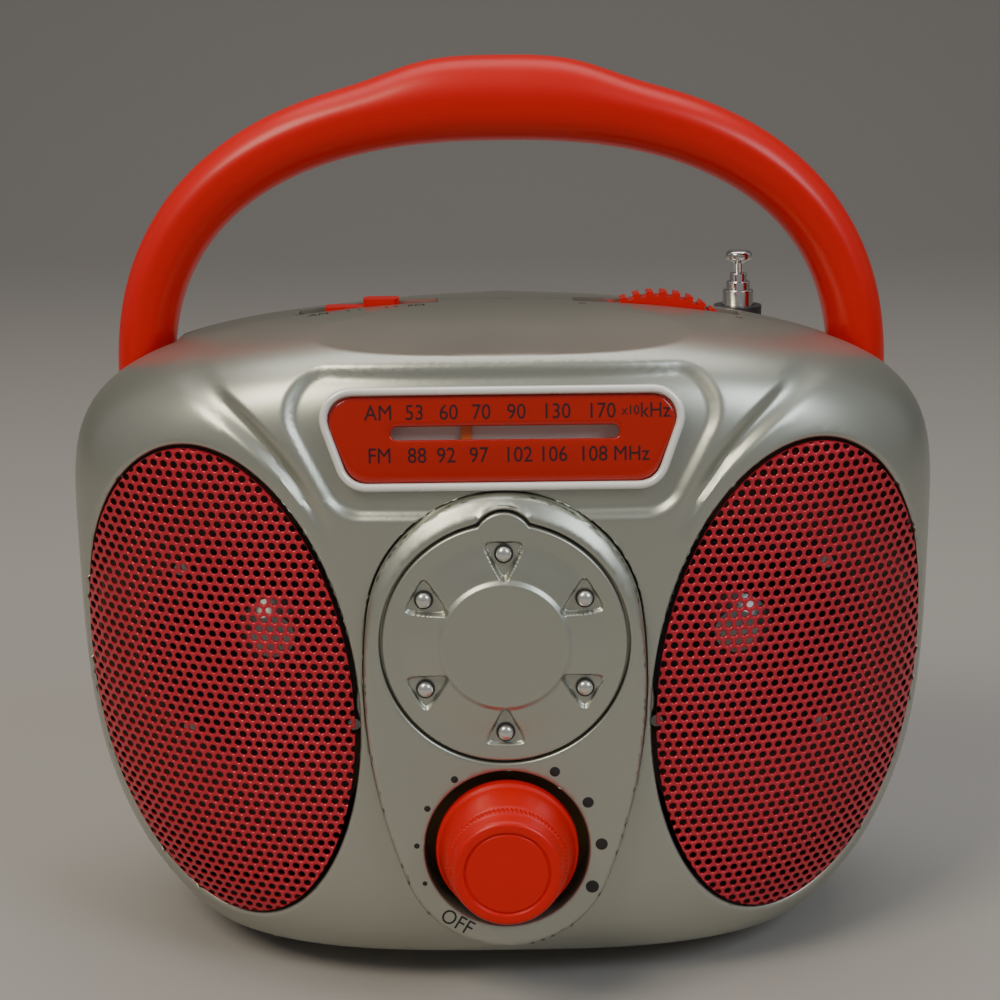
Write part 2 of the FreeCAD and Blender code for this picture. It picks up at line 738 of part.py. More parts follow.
def make_dial_plate():
    """Scale plate behind the lens: a slot for the pointer and two ears for its rail."""
    front = plate_front()
    half = size("plate_half")
    plate = Part.makeBox(2 * half, 1.2, 17, Vector(-half, front, -9))
    plate = plate.cut(Part.makeBox(2 * half - 10, 5, 2.8, Vector(5 - half, front - 1, -0.2)))
    for start in (-half, half - 2.4):
        plate = plate.fuse(Part.makeBox(2.4, 9, 11, Vector(start, front, -8)))
    plate = plate.cut(rail_line(size("rail_radius") + size("fit_gap") / 3, -100, 200))
    return keep(on_window(fixed("dial_plate_body", plate)), "dial_plate")


def make_pointer_rail():
    half = size("plate_half")
    rail = rail_line(size("rail_radius"), -half, 2 * half)
    return keep(on_window(fixed("pointer_rail_body", rail)), "pointer_rail")


def make_dial_pointer():
    """Pointer: a blade in front of the scale plate on a block that slides on the rail."""
    front = plate_front()
    middle = -size("pointer_rest")
    blade = Part.makeBox(2.2, 1.0, 6, Vector(middle - 1.1, front - 1.5, -1.8))
    stem = Part.makeBox(2.2, 6, 2.0, Vector(middle - 1.1, front - 1.5, 0.2))
    block = Part.makeBox(5, 4.4, 7.7, Vector(middle - 2.5, front + 2.8, -5.5))
    shape = blade.fuse([stem, block])
    shape = shape.cut(rail_line(size("rail_radius") + size("turn_gap"), middle - 10, 20))
    return keep(on_window(fixed("dial_pointer_body", shape)), "dial_pointer")


# ---------------------------------------------------------------- speakers


def speaker_piece(node, corners):
    """One round speaker piece, turned about an axis that faces front, and its twin."""
    body = revolved(node, corners)
    body.Placement = Placement(Vector(), Rotation(Vector(1, 0, 0), 90))
    bind(body, "Placement.Base.x", "@speaker_offset")
    bind(body, "Placement.Base.y", "-@speaker_face")
    bind(body, "Placement.Base.z", "@speaker_height")
    keep(body, node + "_right")
    keep(mirrored(node + "_twin", body), node + "_left")


def make_speakers():
    """Frame, cone, dust cap and magnet of each speaker; heights run back from the flange."""
    back = "-@speaker_depth"
    speaker_piece("speaker_frame", [
        ("@cone_radius + 0.6", "0"), ("@speaker_radius", "0"), ("@speaker_radius", "-@flange_thick"),
        ("@cone_radius + 1.8", "-@flange_thick"), ("@magnet_radius - 2", back),
        ("8.6", back), ("8.6", back + " + 1.2"), ("@magnet_radius - 3", back + " + 1.2"),
        ("@cone_radius + 0.6", "-1")])
    speaker_piece("speaker_cone", [
        ("@cone_radius + 0.3", "0.2"), ("@cone_radius - 2", "1"), ("@cap_radius - 1", "-11"),
        ("@cap_radius - 1", "-11.8"), ("@cone_radius - 2", "0.1"),
        ("@cone_radius + 0.3", "-0.6")])
    speaker_piece("speaker_cap", [
        ("0", "-5"), ("@cap_radius * 0.5", "-6.2"), ("@cap_radius * 0.85", "-8.6"),
        ("@cap_radius - 1.05", "-11"), ("@cap_radius - 1.05", "-11.8"), ("0", "-11.8")])
    speaker_piece("speaker_magnet", [
        ("0", back), ("@magnet_radius", back), ("@magnet_radius", back + " - @magnet_thick"),
        ("0", back + " - @magnet_thick")])


def make_grilles():
    """Domed steel grilles that follow the front shell and rest on its ledge."""
    thick = size("grille_thick")
    skin = half_body(-1, size("fit_gap")).cut(half_body(-1, thick + size("fit_gap")))
    shape = skin.common(oval_bar(0.0, 1, -60.0, -1.0))
    right = keep(fixed("grille", shape), "speaker_grille_right")
    keep(mirrored("grille_twin", right), "speaker_grille_left")


def make_baffles():
    """Flat boards behind the grilles that carry the speakers."""
    room = half_body(-1, size("wall") + size("run_gap"))
    face = size("flange_thick") - size("speaker_face")
    board = oval_bar(2.0, 1, face, face + size("baffle_thick"))
    hole = Part.makeCylinder(
        size("cone_radius") + 2.2, 20,
        Vector(size("speaker_offset"), face - 10, size("speaker_height")), Vector(0, 1, 0))
    right = keep(fixed("baffle", board.common(room).cut(hole)), "speaker_baffle_right")
    keep(mirrored("baffle_twin", right), "speaker_baffle_left")


def make_speaker_screws():
    """Four pan-head screws on each speaker's flange."""
    screws = []
    ring = size("speaker_radius") - 1.6
    for right in (-1, 1):
        for number in range(4):
            turn = math.radians(45 + 90 * number)
            spot = Vector(size("speaker_offset") * right + ring * math.cos(turn),
                          -size("speaker_face"), size("speaker_height") + ring * math.sin(turn))
            screws.append(Part.makeCylinder(1.4, 1.2, spot, Vector(0, -1, 0)))
    return keep(fixed("speaker_screws_body", Part.makeCompound(screws)), "speaker_screws")


# ---------------------------------------------------------------- handle


def handle_wire(share):
    """One rounded section of the handle at a share of the way round its arch."""
    turn = math.pi * share
    half_span = size("handle_span") + 2.0
    foot = size("pivot_height") + 8.0
    rise = size("handle_top") - size("handle_hump") - size("handle_grip") / 2 - foot
    power = 2.0 / 2.4
    lean, lift = math.cos(turn), math.sin(turn)
    spot = Vector(half_span * math.copysign(abs(lean) ** power, lean), 0,
                  foot + rise * abs(lift) ** power)
    slope_x = -abs(lift) ** (2 - power) if lift else 0.0
    slope_z = abs(lean) ** (2 - power) * math.copysign(1.0, lean)
    ahead = Vector(slope_x * half_span, 0, slope_z * rise)
    ahead = Vector(0, 0, 1 if share < 0.5 else -1) if share in (0.0, 1.0) else ahead.normalize()
    outward = Vector(ahead.z, 0, -ahead.x)
    blend = abs(lift) ** 2
    wide = size("handle_leg") + (size("handle_grip") - size("handle_leg")) * blend
    wide = wide / 2
    hump = size("handle_hump") * math.exp(-(spot.x / size("hump_reach")) ** 4)
    deep = size("handle_deep") / 2
    points = []
    for step in range(12):
        angle = 2 * math.pi * step / 12
        side, front = math.cos(angle), math.sin(angle)
        side = math.copysign(abs(side) ** 0.75, side)
        front = math.copysign(abs(front) ** 0.75, front)
        reach = (wide + hump) if side > 0 else wide
        points.append(spot + outward * (reach * side) + Vector(0, deep * front, 0))
    curve = Part.BSplineCurve()
    curve.interpolate(Points=points, PeriodicFlag=True)
    return Part.Wire([curve.toShape()])


def make_handle():
    """Arched handle with an eye at each end for its pivot."""
    steps = 28
    wires = [handle_wire(step / steps) for step in range(steps + 1)]
    arch = Part.makeLoft(wires, True, False)
    half_span = size("handle_span") + 2.0
    leg = size("handle_leg")
    deep = size("handle_deep")
    foot = size("pivot_height") + 8.0
    shape = arch
    for right in (-1, 1):
        low = Vector(right * half_span - leg / 2, 0, size("pivot_height"))
        eye = Part.makeCylinder(deep / 2, leg, low, Vector(1, 0, 0))
        neck = Part.makeBox(leg, deep * 0.9, 8.5, Vector(low.x, -deep * 0.45, low.z))
        shape = shape.fuse([eye, neck])
    hole = Part.makeCylinder(size("pivot_radius") + size("turn_gap"), 300,
                             Vector(-150, 0, size("pivot_height")), Vector(1, 0, 0))
    raw = fixed("handle_raw", shape.cut(hole))
    return keep(put(raw, ("0", "@pivot_back", "0")), "handle")


def make_handle_pivots():
    """A pin with a flat head at each end of the handle."""
    pins = []
    outer = size("handle_span") + 2.0 + size("handle_leg") / 2
    floor = size("notch_floor") - size("wall")
    for right in (-1, 1):
        start = Vector(right * (floor - 1.5), size("pivot_back"), size("pivot_height"))
        ahead = Vector(right, 0, 0)
        pin = Part.makeCylinder(size("pivot_radius"), outer - floor + 1.7, start, ahead)
        end = Vector(right * (outer + 0.2), start.y, start.z)
        head = Part.makeCylinder(size("pivot_radius") + 2.0, 1.2, end, ahead)
        pins.append(pin.fuse(head))
    return keep(fixed("handle_pivots_body", Part.makeCompound(pins)), "handle_pivots")


# ---------------------------------------------------------------- top controls and tuner


def make_tuning_wheel():
    """Thumb wheel with grip teeth, and the cord drum behind its rim."""
    body = body_of("wheel")
    outline = sketch_on(body, "XZ_Plane", "wheel_outline")
    circle(outline, "0", "0", "@wheel_radius")
    pad = body.newObject("PartDesign::Pad", "wheel_pad")
    pad.Profile = outline
    bind(pad, "Length", "@wheel_thick")
    pad.Midplane = True
    doc.recompute()
    tooth = sketch_on(body, "XZ_Plane", "wheel_gap_outline")
    polygon(tooth, [("-0.8", "@wheel_radius - 1.1"), ("0.8", "@wheel_radius - 1.1"),
                    ("0.9", "@wheel_radius + 1"), ("-0.9", "@wheel_radius + 1")])
    gap = body.newObject("PartDesign::Pocket", "wheel_gap")
    gap.Profile = tooth
    gap.Type = "ThroughAll"
    gap.Midplane = True
    body.Tip = gap
    doc.recompute()
    ring = body.newObject("PartDesign::PolarPattern", "wheel_gaps")
    ring.Originals = [gap]
    ring.Axis = (outline, ["N_Axis"])
    ring.Angle = 360
    bind(ring, "Occurrences", "@wheel_teeth")
    body.Tip = ring
    drum_sketch = sketch_on(body, "XZ_Plane", "wheel_drum_outline")
    circle(drum_sketch, "0", "0", "@drum_radius")
    drum = body.newObject("PartDesign::Pad", "wheel_drum")
    drum.Profile = drum_sketch
    bind(drum, "Length", "@wheel_thick / 2 + 3")
    body.Tip = drum
    bore_sketch = sketch_on(body, "XZ_Plane", "wheel_bore_outline")
    circle(bore_sketch, "0", "0", "@shaft_radius + @fit_gap / 3")
    bore = body.newObject("PartDesign::Pocket", "wheel_bore")
    bore.Profile = bore_sketch
    bore.Type = "ThroughAll"
    bore.Midplane = True
    body.Tip = bore
    return keep(put(body, ("@wheel_offset", "0", "@wheel_height")), "tuning_wheel")


def make_tuner():
    """Tuner board with the tuning capacitor, its shaft and the ferrite aerial."""
    board = box("tuner_plate", ("-48", "@tuner_back", "@wheel_height - 30"),
                ("@antenna_offset + 40", "@board_thick", "34"))
    keep(board, "tuner_board")
    case = box("capacitor_case", ("@wheel_offset - 10", "@wheel_thick / 2 + 1",
                                  "@wheel_height - 10"),
               ("20", "@tuner_back - @wheel_thick / 2 - 1", "14"))
    bore = rod("capacitor_bore", ("@wheel_offset", "0", "@wheel_height"),
               "@shaft_radius + @turn_gap", "@tuner_back - 1", "Y")
    keep(cut("capacitor_body", case, [bore]), "tuning_capacitor")
    shaft = rod("tuning_shaft_rod", ("@wheel_offset", "-@wheel_thick / 2 - 3", "@wheel_height"),
                "@shaft_radius", "@tuner_back + @wheel_thick / 2 + 1.4", "Y")
    keep(shaft, "tuning_shaft")
    ferrite = rod("ferrite",
                  ("-45", "@tuner_back + @board_thick + @ferrite_back", "@wheel_height - @ferrite_drop"),
                  "4", "70", "X")
    keep(ferrite, "ferrite_rod")
    outer = rod("coil_outer",
                ("-30", "@tuner_back + @board_thick + @ferrite_back", "@wheel_height - @ferrite_drop"),
                "5.2", "16", "X")
    inner = rod("coil_inner",
                ("-31", "@tuner_back + @board_thick + @ferrite_back", "@wheel_height - @ferrite_drop"),
                "4.05", "18", "X")
    keep(cut("coil_body", outer, [inner]), "aerial_coil")
    clips = []
    for number, place in enumerate(("-42", "16")):
        clips.append(box("clip_%d" % number,
                         (place, "@tuner_back + @board_thick", "@wheel_height - 18"),
                         ("4", "13", "12")))
    seat = rod("clip_bore",
               ("-60", "@tuner_back + @board_thick + @ferrite_back", "@wheel_height - @ferrite_drop"),
               "4.05", "120", "X")
    keep(cut("clips_body", fuse("clips_raw", clips), [seat]), "aerial_clips")


def make_band_switch():
    """Slide switch on the tuner board and its cap, which runs in the left slot."""
    middle = "-@band_slot_high - @band_cap_length / 2 - @run_gap"
    top = "@crest_height - 5.2"
    case = box("switch_case", (middle + " - 13", "-3", top + " - 8"),
               ("22", "@tuner_back + 3", "7"))
    keep(case, "band_switch")
    cap = box("cap_bar", (middle + " - @band_cap_length / 2", "-@band_cap_wide / 2",
                          top + " - 0.7"),
              ("@band_cap_length", "@band_cap_wide", "4.6"))
    button = rod("cap_button", (middle, "0", top), "4", "5.6")
    trim = box("cap_trim", (middle + " - 5", "-@band_cap_wide / 2", top), ("10",
               "@band_cap_wide", "8"))
    common = doc.addObject("Part::MultiCommon", "cap_button_trimmed")
    common.Shapes = [button, trim]
    keep(fuse("cap_body", [cap, common]), "band_switch_cap")


# ---------------------------------------------------------------- antenna

ANTENNA_TUBES = 4


def make_antenna():
    """Four nested tubes; each one's collar shows as a step above the one outside it."""
    across, back = size("antenna_offset"), size("antenna_back")
    foot, top = size("antenna_foot"), size("antenna_top")
    step, gap = size("antenna_step"), size("turn_gap")
    for number in range(ANTENNA_TUBES):
        outer = size("antenna_radius") - step * number
        inner = outer - step + gap
        low = Vector(across, back, foot + size("tube_inset") * number)
        high = top + size("tube_step") * number
        tube = Part.makeCylinder(outer, high - low.z, low)
        last = number == ANTENNA_TUBES - 1
        if not last:
            tube = tube.cut(Part.makeCylinder(inner, high - low.z + 1, low))
        if last:
            button = Part.makeCylinder(size("antenna_tip_radius"), 3.2,
                                       Vector(across, back, high))
            tube = tube.fuse(button)
        keep(fixed("antenna_tube_%d" % (number + 1), tube), "antenna_tube_%d" % (number + 1))
    low = size("crest_height") - 19.6
    bush = Part.makeCylinder(size("antenna_radius") + 2.0, 13.8, Vector(across, back, low))
    bush = bush.cut(Part.makeCylinder(size("antenna_radius") + gap, 20,
                                      Vector(across, back, low - 2)))
    keep(fixed("antenna_bushing_body", bush), "antenna_bushing")


# ---------------------------------------------------------------- battery bay


def make_battery_bay():
    """Open-backed tray, its door, and the springs and plates for four cells."""
    wall = "@bay_wall"
    outer = box("tray_outer", ("-@bay_half_wide + @fit_gap", "@bay_front", "@bay_low + @fit_gap"),
                ("2 * @bay_half_wide - 2 * @fit_gap", "@bay_back - @bay_front",
                 "@bay_high - @bay_low - 2 * @fit_gap"))
    room = box("tray_room", ("-@bay_half_wide + @bay_wall", "@bay_front + @bay_wall",
                             "@bay_low + @bay_wall"),
               ("2 * @bay_half_wide - 2 * @bay_wall", "60",
                "@bay_high - @bay_low - 2 * @bay_wall"))
    skin = fixed("tray_limit", half_body(1, size("wall") + size("run_gap")))
    shaped = doc.addObject("Part::Common", "tray_shaped")
    shaped.Base = outer
    shaped.Tool = skin
    keep(cut("tray_body", shaped, [room]), "battery_tray")
    door_skin = half_body(1, 0.1).cut(half_body(1, size("wall")))
    gap = size("run_gap") + 0.1
    frame = Part.makeBox(2 * (size("bay_half_wide") - gap), 60,
                         size("bay_high") - size("bay_low") - 2 * gap,
                         Vector(-size("bay_half_wide") + gap, 20, size("bay_low") + gap))
    keep(fixed("door_body", door_skin.common(frame)), "battery_door")
    springs = []
    plates = []
    middle = size("bay_front") + size("bay_wall") + size("cell_radius") + 0.5
    for number in range(4):
        across = (number - 1.5) * size("cell_pitch")
        low = size("bay_low") + size("bay_wall")
        high = size("bay_high") - size("bay_wall")
        springs.append(Part.makeCone(5.0, 2.5, 4.5, Vector(across, middle, low)))
        plates.append(Part.makeBox(11, 9, 0.5, Vector(across - 5.5, middle - 4.5, high - 0.5)))
    keep(fixed("springs_body", Part.makeCompound(springs)), "battery_springs")
    keep(fixed("plates_body", Part.makeCompound(plates)), "battery_contacts")


# ---------------------------------------------------------------- base


def make_base():
    """Plinth under both shells, four rubber feet and the case screws at the back."""
    plate = box("plinth_plate", ("-@plinth_half_wide", "-@plinth_half_deep", "@plinth_low"),
                ("2 * @plinth_half_wide", "2 * @plinth_half_deep",
                 "@shell_bottom - @plinth_low"))
    keep(plate, "base_plinth")
    feet = []
    for right in (-1, 1):
        for back in (-1, 1):
            spot = Vector(size("foot_across") * right, size("foot_along") * back, 0)
            feet.append(Part.makeCylinder(size("foot_radius"), size("plinth_low"), spot))
    keep(fixed("feet_body", Part.makeCompound(feet)), "rubber_feet")


def make_all():
    make_front_shell()
    make_rear_shell()
    make_control_panel()
    make_hub_plate()
    make_hub_studs()
    make_volume_knob()
    make_volume_shaft()
    make_volume_control()
    make_main_board()
    make_board_parts()
    make_board_screws()
    make_dial_lens()
    make_dial_plate()
    make_pointer_rail()
    make_dial_pointer()
    make_speakers()
    make_grilles()
    make_baffles()
    make_speaker_screws()
    make_handle()
    make_handle_pivots()
    make_tuning_wheel()
    make_tuner()
    make_band_switch()
    make_antenna()
    make_battery_bay()
    make_base()


def export_all():
    """Refuse anything that failed, then write one STEP file for each sub-part."""
    doc.recompute()
    for item in doc.Objects:
        if "Invalid" in item.State or "Error" in item.State:
            raise RuntimeError("failed: " + item.Name)
    os.makedirs("parts", exist_ok=True)
    for part in NODES:
        if part.Shape.isNull() or not part.Shape.isValid():
            raise RuntimeError("bad shape: " + part.Label)
        part.Shape.exportStep("parts/%s.step" % part.Label)
        print(part.Label, len(part.Shape.Solids), "solids", round(part.Shape.Volume / 1000, 2),
              "cm3")


make_all()
export_all()
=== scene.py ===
import math

import bmesh
import bpy
import numpy as np
from mathutils import Matrix, Vector
from mathutils.geometry import delaunay_2d_cdt


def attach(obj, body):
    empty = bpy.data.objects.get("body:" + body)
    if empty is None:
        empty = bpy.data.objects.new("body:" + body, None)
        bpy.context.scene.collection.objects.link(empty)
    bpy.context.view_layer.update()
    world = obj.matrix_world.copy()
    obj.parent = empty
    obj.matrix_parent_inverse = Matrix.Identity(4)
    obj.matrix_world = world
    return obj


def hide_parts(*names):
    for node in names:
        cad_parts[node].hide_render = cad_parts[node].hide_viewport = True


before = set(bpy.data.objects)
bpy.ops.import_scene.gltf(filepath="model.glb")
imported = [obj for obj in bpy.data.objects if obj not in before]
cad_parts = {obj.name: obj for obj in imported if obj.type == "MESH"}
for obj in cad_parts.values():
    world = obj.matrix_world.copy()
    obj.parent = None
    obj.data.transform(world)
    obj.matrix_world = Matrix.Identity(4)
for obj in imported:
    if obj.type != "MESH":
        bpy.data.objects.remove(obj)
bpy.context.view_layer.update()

# Lengths below are in millimetres; MM turns them into the frame's metres when a mesh is made.
MM = 0.001

# ---- camera


def make_camera():
    """Looks along +Y from in front and above, with a slight roll."""
    data = bpy.data.cameras.new("camera")
    data.angle = 2 * math.atan(500 / 1750)
    data.shift_x = -0.003
    camera = bpy.data.objects.new("camera", data)
    bpy.context.scene.collection.objects.link(camera)
    camera.matrix_world = (
        Matrix.Translation((0.0, -0.388, 0.203))
        @ Matrix.Rotation(math.radians(75.0), 4, "X")
        @ Matrix.Rotation(math.radians(-0.7), 4, "Z")
    )
    bpy.context.scene.camera = camera


make_camera()

# ---- sizes shared with the CAD

WAIST = 85.0
CREST = 145.6
BOTTOM = 8.0
HALF_WIDTH = 97.0
FRONT_DEPTH = 48.0
FRONT_FALL = 0.045
ROOF_TOP = CREST + 1.2
ROOF_SLOPE = math.tan(math.radians(12.0))
PANEL_AT = np.array([0.0, -49.5, 81.7])
PANEL_LEAN = math.radians(3.0)
WINDOW_AT = np.array([0.0, -42.8, 123.4])
WINDOW_LEAN = math.radians(10.0)
KNOB_DROP = 44.8
KNOB_HOLE = 17.3
HUB_RADIUS = 25.2
HUB_GAP = 0.6
KEY_OFFSET = 21.6
KEY_RADIUS = 6.0
STUD_CIRCLE = 19.0
GRILLE_AT = (62.1, 68.2)
GRILLE_HALF = (30.3, 52.3)
GRILLE_TILT = math.radians(4.8)
LENS_TOP, LENS_LOW, LENS_TALL, LENS_ROUND = 38.0, 31.0, 9.2, 5.0
LENS_DOME = 0.35
SLOT_HALF = 3.1
CREST_POWER, BASE_POWER, BASE_DEPTH = 5.2, 3, 20
FRONT_MIDDLE = 0.53 * WAIST
FRONT_POWER, FRONT_BASE_POWER = 14, 5
FRONT_OVER, FRONT_UNDER = 1.4, 5
SECTION_POWER = 3
PANEL_TOP_ROUND, PANEL_LOW_ROUND, PANEL_SIDE_ROUND = 28.5, 22.5, 120.0
PANEL_TOP_CENTRE, PANEL_LOW_CENTRE = 2.5, -44.7
PANEL_BACK = 7.8
HUB_SEAT = 2.6
PAD_RADIUS = 13.5
WHEEL_SLOT = (16.1, 53.1)
BAND_SLOT = (-45.6, -13.8)

# ---- mesh helpers


def smoothstep(low, high, value):
    """Zero at low, one at high, with a soft start and end."""
    share = np.clip((value - low) / (high - low), 0.0, 1.0)
    return share * share * (3 - 2 * share)


def grid_faces(rows, columns, wrap=False):
    """Quads of a grid of points, row by row; a wrapped grid joins its last column to its first."""
    i, j = np.meshgrid(np.arange(rows - 1), np.arange(columns if wrap else columns - 1),
                       indexing="ij")
    k = (j + 1) % columns
    quads = [i * columns + j, i * columns + k, (i + 1) * columns + k, (i + 1) * columns + j]
    return np.stack(quads, -1).reshape(-1, 4)


def as_lists(faces):
    """Faces as plain lists, whether they came as an array or not."""
    return faces.tolist() if isinstance(faces, np.ndarray) else faces


def make_piece(name, parts, material, body, nodes=(), angle=38.0, wall=0.0,
               outward=True):
    """One object from (points, faces) parts, merged, with faces outwards and soft edges.

    It rides on a body, may replace CAD nodes and name a slot; a wall is added behind a skin."""
    mesh = bpy.data.meshes.new(name)
    points, faces, start = [], [], 0
    for own_points, own_faces in parts:
        points.append(np.asarray(own_points, float))
        faces.extend([[corner + start for corner in face] for face in as_lists(own_faces)])
        start += len(own_points)
    mesh.from_pydata((np.vstack(points) * MM).tolist(), [], faces)
    work = bmesh.new()
    work.from_mesh(mesh)
    bmesh.ops.remove_doubles(work, verts=work.verts, dist=1e-6)
    bmesh.ops.dissolve_degenerate(work, edges=work.edges, dist=1e-7)
    if outward:
        bmesh.ops.recalc_face_normals(work, faces=work.faces)
    work.to_mesh(mesh)
    work.free()
    mesh.shade_smooth()
    mesh.set_sharp_from_angle(angle=math.radians(angle))
    thing = bpy.data.objects.new(name, mesh)
    bpy.context.scene.collection.objects.link(thing)
    mesh.materials.append(material)
    if wall:
        solid = thing.modifiers.new("wall", "SOLIDIFY")
        solid.thickness = wall * MM
        solid.offset = -1.0
    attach(thing, body)
    if nodes:
        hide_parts(*nodes)


def place(points, origin, lean):
    """Points of a leaning frame, (across, back, up), turned back by the lean and moved."""
    across, back, up = points[:, 0], points[:, 1], points[:, 2]
    turned = np.stack([across, back * math.cos(lean) + up * math.sin(lean),
                       up * math.cos(lean) - back * math.sin(lean)], 1)
    return turned + origin


def on_panel(points):
    """Points of the leaning front panel's frame, carried to the shared frame."""
    return place(np.asarray(points, float), PANEL_AT, PANEL_LEAN)


def on_window(points):
    """Points of the leaning window's frame, carried to the shared frame."""
    return place(np.asarray(points, float), WINDOW_AT, WINDOW_LEAN)


def within(points, loop):
    """Which plane points lie inside a closed loop, by counting crossings."""
    x, y = points[:, 0][:, None], points[:, 1][:, None]
    x0, y0 = loop[:, 0][None], loop[:, 1][None]
    x1, y1 = np.roll(loop[:, 0], -1)[None], np.roll(loop[:, 1], -1)[None]
    rise = np.where(y1 == y0, 1e-12, y1 - y0)
    crosses = ((y0 > y) != (y1 > y)) & (x < (x1 - x0) * (y - y0) / rise + x0)
    return crosses.sum(1) % 2 == 1


def near(points, loop, reach):
    """Which plane points lie nearer than reach to a loop's own points."""
    close = np.zeros(len(points), bool)
    for part in np.array_split(np.arange(len(points)), max(1, len(points) // 4000)):
        gap = points[part][:, None, :] - loop[None]
        close[part] = (gap ** 2).sum(2).min(1) < reach ** 2
    return close


def hex_dots(low, high, pitch):
    """A hexagonal field of points over a box."""
    rows = int((high[1] - low[1]) / (pitch * math.sqrt(0.75))) + 1
    columns = int((high[0] - low[0]) / pitch) + 2
    i, j = np.meshgrid(np.arange(rows), np.arange(columns), indexing="ij")
    across = low[0] + (j + 0.5 * (i % 2)) * pitch
    return np.stack([across.ravel(), (low[1] + i * pitch * math.sqrt(0.75)).ravel()], 1)


def filled(outer, holes, rings, dots):
    """Triangles between an outer loop and its holes, through closed rings and free dots.

    Gives (plane points, triangles, index of the input point that each one came from)."""
    loops = [outer] + holes + rings
    edges, start = [], 0
    for loop in loops:
        index = np.arange(len(loop)) + start
        edges.append(np.stack([index, np.roll(index, -1)], 1))
        start += len(loop)
    points = np.vstack(loops + [dots])
    result = delaunay_2d_cdt([Vector(p) for p in points.tolist()],
                             np.vstack(edges).tolist(), [], 0, 1e-5)
    flat = np.array([tuple(point) for point in result[0]])
    triangles = np.array(result[2])
    source = np.array([ids[0] if ids else -1 for ids in result[3]])
    middle = flat[triangles].mean(1)
    kept = within(middle, outer)
    for hole in holes:
        kept &= ~within(middle, hole)
    return flat, triangles[kept], source


def lathe(profile, steps, around=None):
    """A profile of (radius, out) turned about the out axis: (r cos t, -out, r sin t)."""
    profile = np.asarray(profile, float)
    turn = np.arange(steps) * 2 * math.pi / steps
    radius = profile[:, 0][:, None] * np.ones(steps)[None]
    if around is not None:
        radius = radius + around(profile, turn)
    points = np.stack([radius * np.cos(turn), -profile[:, 1][:, None] + 0 * radius,
                       radius * np.sin(turn)], -1).reshape(-1, 3)
    return points, grid_faces(len(profile), steps, True)


def rounded_profile(corners, radius, steps=5):
    """A profile whose inner corners are replaced by small quadratic curves."""
    corners = np.asarray(corners, float)
    out = [corners[0]]
    for before, corner, after in zip(corners, corners[1:], corners[2:]):
        back, ahead = before - corner, after - corner
        cut_back = min(radius, 0.45 * np.hypot(*back)) / np.hypot(*back)
        cut_ahead = min(radius, 0.45 * np.hypot(*ahead)) / np.hypot(*ahead)
        start, end = corner + back * cut_back, corner + ahead * cut_ahead
        for share in np.linspace(0, 1, steps):
            out.append((1 - share) ** 2 * start + 2 * share * (1 - share) * corner
                       + share ** 2 * end)
    out.append(corners[-1])
    return np.array(out)


def swept_bead(path, normals, sideways, wide, tall, steps=10):
    """An oval bead carried round a closed path: across by sideways, up by normals."""
    turn = np.arange(steps) * 2 * math.pi / steps
    points = (path[:, None] + sideways[:, None] * (wide * np.cos(turn))[None, :, None]
              + normals[:, None] * (tall * np.sin(turn))[None, :, None])
    rows = len(path)
    points = np.concatenate([points, points[:1]]).reshape(-1, 3)
    return points, grid_faces(rows + 1, steps, True)


# ---- the shells' shape


def half_width(height):
    """Half width, 97 sqrt(1 - up^5.2 - down^3), from the waist to crest and base."""
    up = np.clip((height - WAIST) / (CREST - WAIST), 0, 1)
    down = np.clip((WAIST - height) / (WAIST + BASE_DEPTH), 0, 1)
    share = 1 - up ** CREST_POWER - down ** BASE_POWER
    return HALF_WIDTH * np.sqrt(np.clip(share, 1e-6, 1))


def front_depth(height):
    """Depth of the front, leaning back above the middle and rounded in at both ends."""
    full = FRONT_DEPTH - FRONT_FALL * np.clip(height - FRONT_MIDDLE, 0, None)
    up = np.clip((height - FRONT_MIDDLE) / (CREST + FRONT_OVER - FRONT_MIDDLE), 0, 1)
    down = np.clip((FRONT_MIDDLE - height) / (FRONT_MIDDLE + FRONT_UNDER), 0, 1)
    share = 1 - up ** FRONT_POWER - down ** FRONT_BASE_POWER
    return full * np.sqrt(np.clip(share, 1e-6, 1))


def inside(points):
    """Inside the front shell: |x/a|^3 + (y/b)^2 < 1, under the roof and over the base."""
    x, y, z = points[..., 0], points[..., 1], points[..., 2]
    shape = np.abs(x / half_width(z)) ** SECTION_POWER + (y / front_depth(z)) ** 2 < 1
    roof = np.minimum(CREST, ROOF_TOP - ROOF_SLOPE * np.abs(y))
    return shape & (z < roof) & (z > BOTTOM)


def march(origin, ahead, reach=150.0):
    """Where rays leave the shell, by halving the step forty times."""
    low = np.zeros(len(ahead))
    high = np.full(len(ahead), reach)
    for _ in range(40):
        middle = (low + high) / 2
        held = inside(origin + ahead * middle[:, None])
        low, high = np.where(held, middle, low), np.where(held, high, middle)
    return origin + ahead * low[:, None]


def front_skin(across, height):
    """Points of the front face at (x, z): y = -b sqrt(1 - |x/a|^3), under the roof plane."""
    share = np.clip(1 - np.abs(across / half_width(height)) ** SECTION_POWER, 0, 1)
    back = -front_depth(height) * np.sqrt(share)
    limit = np.clip((ROOF_TOP - height) / ROOF_SLOPE, 0, None)
    return np.stack([across, np.maximum(back, -limit), height], 1)


HEART = np.array([0.0, 0.0, 75.0])
PLANE_SCALE = 75.0


def to_plane(points):
    """The shell drawn flat: angle from straight ahead, times the scale, round the clock."""
    ahead = points - HEART
    ahead = ahead / np.linalg.norm(ahead, axis=1)[:, None]
    angle = np.arccos(np.clip(-ahead[:, 1], -1, 1))
    turn = np.arctan2(ahead[:, 2], ahead[:, 0])
    return np.stack([angle * np.cos(turn), angle * np.sin(turn)], 1) * PLANE_SCALE


